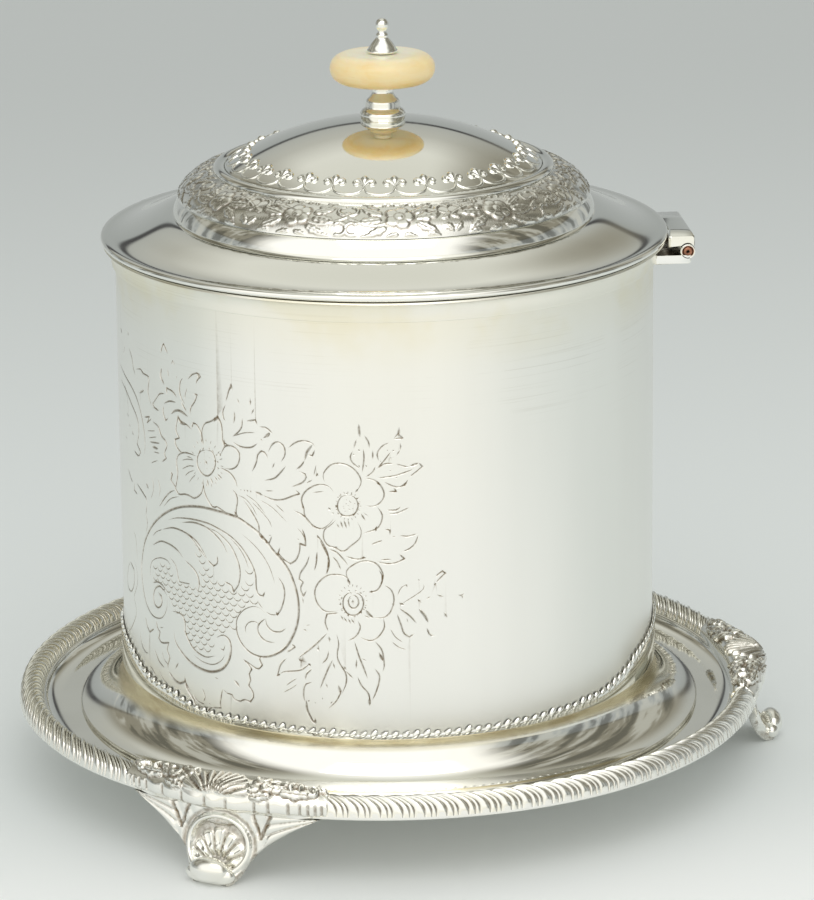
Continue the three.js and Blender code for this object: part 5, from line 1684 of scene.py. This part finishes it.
def foot_relief(s, z):
    """Height of the casting over a foot's strap, and how dark its recesses are.
    s runs across the foot and z is the height above the table."""
    side = np.abs(s)
    out = np.hypot(s / 8.1, (z - 8.4) / 7.6)
    rim = 0.95 * ridge(out - 1, 0.095)
    inside = 1 - ease(out, 0.82, 0.9)
    angle = np.degrees(np.arctan2(s, z - 3.2))
    reach = np.hypot(s, z - 3.2)
    phase = angle / 24.0
    lobe = np.cos(np.pi * (phase - np.round(phase)))
    tip = 9.9 - 0.5 * np.abs(np.round(phase))
    fan = ease(reach, 2.0, 4.5) * (1 - ease(reach, tip - 1.3 * (1 - lobe) - 1.2, tip))
    flutes = 1.25 * fan * np.clip(lobe, 0, 1) ** 0.55 * (np.abs(angle) < 84)
    flutes = flutes - 0.5 * fan * ridge(phase - np.round(phase), 0.22) * ease(reach, 4.5, 6.0)
    fold = ridge(np.hypot((s + 0.5) / 4.6, (z - 14.3) / 1.0), 1.0)
    flutes = np.maximum(flutes, 0.8 * fold)
    gap = inside * (1 - np.clip(1.6 * fan * np.clip(lobe, 0, 1), 0, 1))
    outside = ease(out, 1.1, 1.22)
    groove = ridge(out - 1.2, 0.08)
    fork = 11.4
    upper = (z > 11.0) * (z < 17.6)
    outer_line = np.abs((side - 11.0) - 0.42 * np.abs(z - fork) * np.where(z > fork, 1, 0))
    inner_line = np.abs((side - 11.0) + 0.34 * np.abs(z - fork))
    notch = np.maximum(ridge(outer_line, 0.55) * upper, ridge(inner_line, 0.5) * upper)
    low = 10.2 + 7.6 * np.clip((side - 13.0) / 14.0, 0, 1) ** 0.8
    share = np.clip((z - low) / np.maximum(18.2 - low, 0.4), 0, 1)
    wing = ease(side, 11.2, 13.5)
    veins = np.abs(np.sin(np.pi * (3 * share + 0.15))) ** 0.6
    leaf = wing * (0.25 + 0.55 * veins)
    lower = outside * (1 - wing) * 0.35 * np.abs(np.sin(0.9 * (side - 0.5 * z)))
    hub = ridge(np.hypot(s / 4.3, (z - 3.0) / 2.4), 1.0) * 0.6
    height = (rim - 0.75 * inside + inside * flutes + leaf + lower - 0.55 * notch
              - 0.3 * groove + hub)
    dark = 0.6 * gap * (1 - hub) + notch + 0.7 * groove + 0.8 * wing * (1 - veins) ** 2
    return height, np.clip(dark, 0, 1)


# A foot's strap, as radius and height from under the tray to the toe
STRAP = ((96.8, 17.7), (96.9, 14.6), (97.3, 11.2), (98.2, 7.6), (99.8, 4.2), (102.0, 1.7),
         (104.4, 0.55))


def cast_foot():
    """One foot's strap at azimuth 0: a fluted cartouche between leaf wings, curving out to where
    the scroll toe sits.
    """
    across, along = 133, 84
    strap_r, strap_top = STRAP[0]
    line = curve_through(STRAP, along)
    way = headings(line)
    rise = np.clip((line[:, 1] - 2.1) / 15.6, 0, 1)
    half = 7.2 + 19.5 * rise ** 1.7
    half = half * np.sqrt(1 - (np.clip(3.4 - line[:, 1], 0, 3.2) / 3.6) ** 2)
    u = np.linspace(-1, 1, across)
    s = u[:, None] * half[None, :]
    z = np.repeat(line[None, :, 1], across, 0)
    height, dark = foot_relief(s, z)
    edge = np.sqrt(np.clip(1 - ((np.abs(u) - 0.94) / 0.06).clip(0, 1) ** 2, 0, 1))[:, None]
    gauge = 1.1 - 0.35 * np.abs(u)[:, None] * rise[None, :]
    front_and_back = [polar(line[:, 0] - offset * way[:, 1], s / strap_r,
                            np.clip(line[:, 1] + offset * way[:, 0], 0, strap_top))
                      for offset in (gauge * edge + height * edge, -gauge * edge)]
    points = np.concatenate(front_and_back).reshape(-1, 3)
    n = across * along
    faces = grid_faces(across, along)
    faces += [tuple(reversed(f)) for f in grid_faces(across, along, offset=n)]
    for i in range(across - 1):
        a, b = i * along, (i + 1) * along
        faces.append((a, b, b + n, a + n))
        a, b = i * along + along - 1, (i + 1) * along + along - 1
        faces.append((b, a, a + n, b + n))
    # The back of the strap is marked a quarter dark: painted shade.
    recess = np.concatenate((dark.reshape(-1), np.full(n, 0.25)))
    return points, faces, recess


def scroll_toe(at, height, across, deep, tall, blunt):
    """A rounded boss of a foot at azimuth 0: the curled toe, or the hub of its shell."""
    around, rows = 40, 25
    v = np.sin(np.linspace(-math.pi / 2, math.pi / 2, rows))
    bulge = np.clip(1 - np.abs(v) ** blunt, 0, 1) ** 0.5
    a = np.radians(np.arange(around) * 360 / around)
    r = at + deep * bulge[None, :] * np.cos(a)[:, None]
    z = height + tall * bulge[None, :] * np.sin(a)[:, None]
    y = np.repeat(across * v[None, :], around, 0)
    points = np.stack((r, y, z), -1).reshape(-1, 3)
    return points, grid_faces(around, rows, wrap_columns=True)


class BISCUIT_OT_feet(bpy.types.Operator):
    """Casts the three feet, each a shell in a cartouche between two leaf wings"""
    bl_idname = "biscuit.feet"
    bl_label = "Feet"

    def execute(self, context):
        points, faces, recess = joined(cast_foot(), scroll_toe(103.5, 2.65, 6.7, 2.5, 2.5, 3.2),
                                       scroll_toe(104.3, 3.9, 5.2, 2.9, 3.3, 2.2))
        for i, azimuth in enumerate(FOOT_AZIMUTHS):
            new_piece(f"scroll_foot_{i + 1}", turned_by(points, azimuth), faces, cast_silver(),
                      "box", [f"foot_{i + 1}"], 60, recess)
        return {"FINISHED"}


# Leaves beside a shell: root, tip and half width. Scrolls: centre, radius, start and sweep
SHELL_LEAVES = (((8.0, -1.2), (17.5, -5.0), 2.0), ((8.4, 1.0), (18.5, 0.2), 1.7),
                ((15.0, -2.6), (24.5, -4.2), 1.7), ((16.0, 1.6), (25.5, 1.4), 1.3),
                ((23.0, -1.6), (28.4, -1.0), 1.5), ((9.0, 3.0), (15.0, 2.4), 0.9))
SHELL_SCROLLS = ((10.4, -3.4, 1.7, -60, 250), (19.4, -1.6, 1.4, 150, 250),
                 (12.8, 0.2, 1.1, 0, 260), (24.0, 0.4, 1.0, -90, 230))
# Where the apron below the shell is slit
APRON_SLITS = (-26.6, -25.2, -23.1, -20.9, -15.2, -9.0, -2.2, 3.4, 10.4, 13.8, 18.6, 21.4,
               23.4, 25.1, 26.7)


def shell_relief(x, t):
    """Height and darkness over a shell ornament. x is the length from its middle, in mm,
    and t runs 0 to 1 from the inner foot over the crest and down the apron."""
    length = 17.0
    side = np.abs(x)
    up = (0.66 - t) * length + 1.5
    reach = np.hypot(x, up)
    phase = np.degrees(np.arctan2(x, up)) / 15.0
    lobe = np.abs(np.cos(np.pi * (phase - np.round(phase))))
    inside = (1 - ease(reach, 8.8 - 1.4 * (1 - lobe), 9.8 - 1.4 * (1 - lobe))) * (t < 0.68)
    fan = inside * ease(reach, 0.8, 2.6)
    height = 1.1 * fan * lobe ** 0.6
    dark = fan * (1 - lobe) ** 0.8 * 1.15
    v = (t - 0.5) * length
    for at, to, width in SHELL_LEAVES:
        rise, line = leaf_shape(side, v, at, to, width)
        over = 2.1 * rise > height
        dark = np.where(over & (rise > 0.03), line, np.maximum(dark, line * (1 - inside)))
        height = np.maximum(height, 2.1 * rise)
    for cx, cy, r, start, sweep in SHELL_SCROLLS:
        away, shown = scroll_at(side, v, cx, cy, r, start, sweep)
        curl = 1.25 * ridge(away, 0.6) * shown
        line = 0.9 * ridge(np.abs(away) - 0.75, 0.25) * shown
        dark = np.where(curl > height, 0.0, np.maximum(dark, line))
        height = np.maximum(height, curl)
    apron = ease(t, 0.70, 0.76)
    slit = np.zeros_like(x)
    for at in APRON_SLITS:
        slit = np.maximum(slit, ridge(x - at, 0.4) * (1 - ease(t, 0.90, 0.97)))
    swell = 0.5 + 0.5 * np.cos(x * 1.05 + 0.8 * np.sin(x * 0.37))
    height = height * (1 - apron) + apron * (0.25 * swell - 0.4 * slit)
    dark = np.maximum(dark * (1 - apron), apron * slit * 0.75)
    return height, np.clip(dark, 0, 1)


def shell_section(fan):
    """The ornament's outer line, inner foot to apron, at a place where fan is 0 to 1."""
    outer = 99.0 + 2.9 * fan ** 2
    crest = 23.8 + 1.1 * fan
    inner = 92.4 - 1.8 * fan
    low = 18.6 + 0.7 * fan
    foot = 19.0 - 1.25 * min(1.0, 2.5 * fan)
    return [(inner, 19.1), (inner + 0.15, 21.4), (inner + 1.6, crest - 0.5), (95.5, crest),
            (outer - 2.2, crest - 0.3), (outer - 0.5, crest - 1.7), (outer, 21.3),
            (outer - 0.15, low + 0.6), (outer - 1.0, max(low - 0.2, foot + 0.15)), (98.4, foot)]


class BISCUIT_OT_shells(bpy.types.Operator):
    """Casts the shells with leaf scrolls that straddle the border over the feet"""
    bl_idname = "biscuit.shells"
    bl_label = "Shell ornaments"

    def execute(self, context):
        columns, rows, back_r, back_z = 221, 62, 97.6, 19.1
        half = math.radians(16.5)
        azimuth = np.linspace(-half, half, columns)[:, None]
        fans = [max(0.0, math.cos(a / half * math.pi / 2)) for a in azimuth[:, 0]]
        line = np.array([curve_through(shell_section(fan), rows) for fan in fans])
        way = np.array([headings(one) for one in line])
        t = np.repeat(np.linspace(0, 1, rows)[None, :], columns, 0)
        x = np.repeat(azimuth * BORDER_R, rows, 1)
        height, dark = shell_relief(x, t)
        height *= ease(t, 0, 0.06) * (1 - ease(t, 0.95, 1.0)) * (1 - ease(np.abs(x), 27.2, 27.93))
        top = polar(line[..., 0] - height * way[..., 1], azimuth,
                    line[..., 1] + height * way[..., 0])
        back = [polar(back_r, azimuth, z) for z in (line[:, -1:, 1], back_z)]
        points = np.concatenate((top, *back), 1).reshape(-1, 3)
        faces = grid_faces(columns, rows + len(back), wrap_rows=True)
        recess = np.concatenate((dark, np.full((columns, len(back)), 0.3)), 1).reshape(-1)
        for i, at in enumerate(FOOT_AZIMUTHS):
            obj = new_piece(f"shell_{i + 1}", turned_by(points, at), faces, cast_silver(), "box",
                            [f"shell_ornament_{i + 1}"], 60, recess)
            close_ends(obj.data)
        return {"FINISHED"}


# Studio

LENS = 160.8
CAMERA_AT = Vector((1.0171, -0.0825, 0.3852))
CAMERA_TO = Vector((0.00045, 0.00133, 0.08404))
CAMERA_ROLL = -0.519


class BISCUIT_OT_stage(bpy.types.Operator):
    """Sets the camera, the pale floor, the studio walls and the lamps"""
    bl_idname = "biscuit.stage"
    bl_label = "Studio"

    def execute(self, context):
        scene = context.scene
        scene.view_settings.view_transform = "Standard"
        self.camera(scene)
        self.floor()
        self.world(scene)
        self.lamp("key", (1.15, -0.05, 1.75), (0, 0, 0.1), 1.5, 1.2, 6.5)
        return {"FINISHED"}

    def camera(self, scene):
        data = bpy.data.cameras.new("camera")
        data.lens = LENS
        data.sensor_width = 36
        data.clip_start = 0.05
        data.clip_end = 50
        cam = new_object("camera", data)
        cam.location = CAMERA_AT
        aim = (CAMERA_TO - CAMERA_AT).to_track_quat("-Z", "Y")
        cam.rotation_mode = "QUATERNION"
        cam.rotation_quaternion = aim @ Quaternion((0, 0, 1), math.radians(CAMERA_ROLL))
        scene.camera = cam

    def floor(self):
        """Pale paper, darker towards the back, with a painted pool of light before the box, glowing
        for the camera and for what its silver mirrors: painted light.
        """
        half = sizes().floor_width / 2
        corners = [(-half, -half, 0), (half, -half, 0), (half, half, 0), (-half, half, 0)]
        mesh = mesh_of("floor", np.array(corners), [(0, 1, 2, 3)])
        mat, w, coords = new_material("floor paper")
        x, y, _ = w.parts(coords)
        path = w.add("ShaderNodeLightPath").outputs
        mirrored = path["Is Glossy Ray"]
        base = tuple(colours().floor)
        # Painted light: the paper is darker towards the back, and a painted pool of light lies
        # before the box.
        tone = w.mix(w.band(x, -1.0, 0.25), tuple(v * 0.70 for v in base), base)
        aside = w.math("ABSOLUTE", w.plus(y, 0.2))
        pool = w.times(w.band(x, 0.01, 0.17), w.rest(w.band(aside, 0.30, 0.72)))
        tone = w.mix(pool, tone, (0.98, 0.98, 0.955))
        # Painted reflection: far before the box, mirror rays see the paper warm white.
        beyond = w.times(w.band(x, 0.42, 0.70), mirrored)
        tone = w.mix(beyond, tone, (0.99, 0.965, 0.85))
        paper = w.add("ShaderNodeBsdfPrincipled")
        paper.inputs["Roughness"].default_value = 0.6
        paper.inputs["Specular IOR Level"].default_value = 0.2
        w.join(tone, paper.inputs["Base Color"])
        # The paper glows for camera and mirror rays: a little for the camera, more for mirrors,
        # most in the pool and far before the box. Painted light.
        glow = w.add("ShaderNodeEmission")
        w.join(tone, glow.inputs["Color"])
        near = w.times(w.times(w.band(x, 0.12, 0.30), pool), mirrored)
        low = w.plus(w.times(mirrored, 0.14), 0.06)
        share = w.math("MAXIMUM", w.plus(w.times(near, 0.40), low), beyond)
        blend = w.add("ShaderNodeMixShader")
        w.join(w.times(w.seen(path), share), blend.inputs[0])
        w.join(paper.outputs[0], blend.inputs[1])
        w.join(glow.outputs[0], blend.inputs[2])
        w.join(blend.outputs[0], w.add("ShaderNodeOutputMaterial").inputs["Surface"])
        mesh.materials.append(mat)
        new_object("floor", mesh)

    def world(self, scene):
        """A pale room with dark folds at its sides, seen by mirrors and the camera only."""
        world = bpy.data.worlds.new("studio")
        world.use_nodes = True
        w = Wiring(world.node_tree)
        w.tree.nodes.clear()
        coords = w.add("ShaderNodeTexCoord").outputs["Generated"]
        x, y, z = w.parts(coords)
        ramp = w.add("ShaderNodeValToRGB")
        w.join(z, ramp.inputs[0])
        stops = ((0.0, (0.44, 0.46, 0.45)), (0.27, (0.36, 0.38, 0.37)),
                 (0.288, (0.07, 0.07, 0.07)), (0.310, (0.07, 0.07, 0.07)),
                 (0.33, (0.42, 0.43, 0.40)), (0.52, (0.49, 0.49, 0.44)),
                 (0.72, (0.74, 0.74, 0.67)), (1.0, (0.68, 0.68, 0.60)))
        band = ramp.color_ramp
        while len(band.elements) < len(stops):
            band.elements.new(0.5)
        for element, (at, colour) in zip(band.elements, stops):
            element.position = at
            element.color = (*colour, 1)
        side = w.math("ABSOLUTE", y)
        over = w.times(w.band(side, 0.20, 0.45), w.band(z, 0.22, 0.34))
        room = w.mix(over, ramp.outputs[0], (0.27, 0.255, 0.20))
        folds = w.noise(w.stretch(coords, (9, 3, 1.1)), 1.0, 3.0, 0.6)
        flank = w.band(side, 0.36, 0.50)
        dark = w.times(w.band(folds, 0.51, 0.56), flank)
        room = w.mix(w.times(dark, 0.6), room, (0.05, 0.05, 0.04))
        light = w.times(w.rest(w.band(folds, 0.42, 0.47)), flank)
        room = w.mix(w.times(light, 0.6), room, (0.60, 0.60, 0.54))
        wide = w.math("ABSOLUTE", w.plus(y, 0.20))
        front = w.times(w.band(x, -0.02, 0.34), w.rest(w.band(wide, 0.62, 0.96)))
        tint = w.mix(w.band(z, -0.02, 0.16), (0.99, 0.97, 0.85), (1.15, 1.14, 1.09))
        room = w.mix(front, room, tint)
        path = w.add("ShaderNodeLightPath").outputs
        room = w.mix(path["Is Camera Ray"], room, (0.58, 0.60, 0.59))
        ambient = w.add("ShaderNodeBackground")
        ambient.inputs[0].default_value = (0.98, 1.0, 0.99, 1)
        ambient.inputs[1].default_value = 0.85
        backdrop = w.add("ShaderNodeBackground")
        w.join(room, backdrop.inputs[0])
        choose = w.add("ShaderNodeMixShader")
        w.join(w.seen(path), choose.inputs[0])
        w.join(ambient.outputs[0], choose.inputs[1])
        w.join(backdrop.outputs[0], choose.inputs[2])
        out = w.add("ShaderNodeOutputWorld")
        w.join(choose.outputs[0], out.inputs["Surface"])
        scene.world = world

    def lamp(self, name, at, to, width, depth, power):
        data = bpy.data.lights.new(name, "AREA")
        data.shape = "RECTANGLE"
        data.size = width
        data.size_y = depth
        data.energy = power
        obj = new_object(name, data)
        obj.location = at
        obj.rotation_mode = "QUATERNION"
        obj.rotation_quaternion = (Vector(to) - Vector(at)).to_track_quat("-Z", "Y")


class BISCUIT_PT_panel(bpy.types.Panel):
    bl_idname = "BISCUIT_PT_panel"
    bl_label = "Biscuit box"
    bl_space_type = "VIEW_3D"
    bl_region_type = "UI"
    bl_category = "Biscuit box"

    def draw(self, context):
        for group in (context.scene.biscuit_box_sizes, context.scene.biscuit_box_colours):
            box = self.layout.box()
            for name in group.__annotations__:
                box.prop(group, name)
        for operator in OPERATORS:
            self.layout.operator(operator.bl_idname)


OPERATORS = (BISCUIT_OT_stage, BISCUIT_OT_tray, BISCUIT_OT_border, BISCUIT_OT_shells,
             BISCUIT_OT_feet, BISCUIT_OT_drum, BISCUIT_OT_lid, BISCUIT_OT_finial, BISCUIT_OT_hinge)
CLASSES = (BoxSizes, BoxColours, *OPERATORS, BISCUIT_PT_panel)


def register():
    for cls in CLASSES:
        bpy.utils.register_class(cls)
    bpy.types.Scene.biscuit_box_sizes = PointerProperty(type=BoxSizes)
    bpy.types.Scene.biscuit_box_colours = PointerProperty(type=BoxColours)


def unregister():
    del bpy.types.Scene.biscuit_box_colours
    del bpy.types.Scene.biscuit_box_sizes
    for cls in reversed(CLASSES):
        bpy.utils.unregister_class(cls)


def main():
    register()
    bpy.ops.biscuit.stage()
    bpy.ops.biscuit.tray()
    bpy.ops.biscuit.border()
    bpy.ops.biscuit.shells()
    bpy.ops.biscuit.feet()
    bpy.ops.biscuit.drum()
    bpy.ops.biscuit.lid()
    bpy.ops.biscuit.finial()
    bpy.ops.biscuit.hinge()


if __name__ == "__main__":
    main()
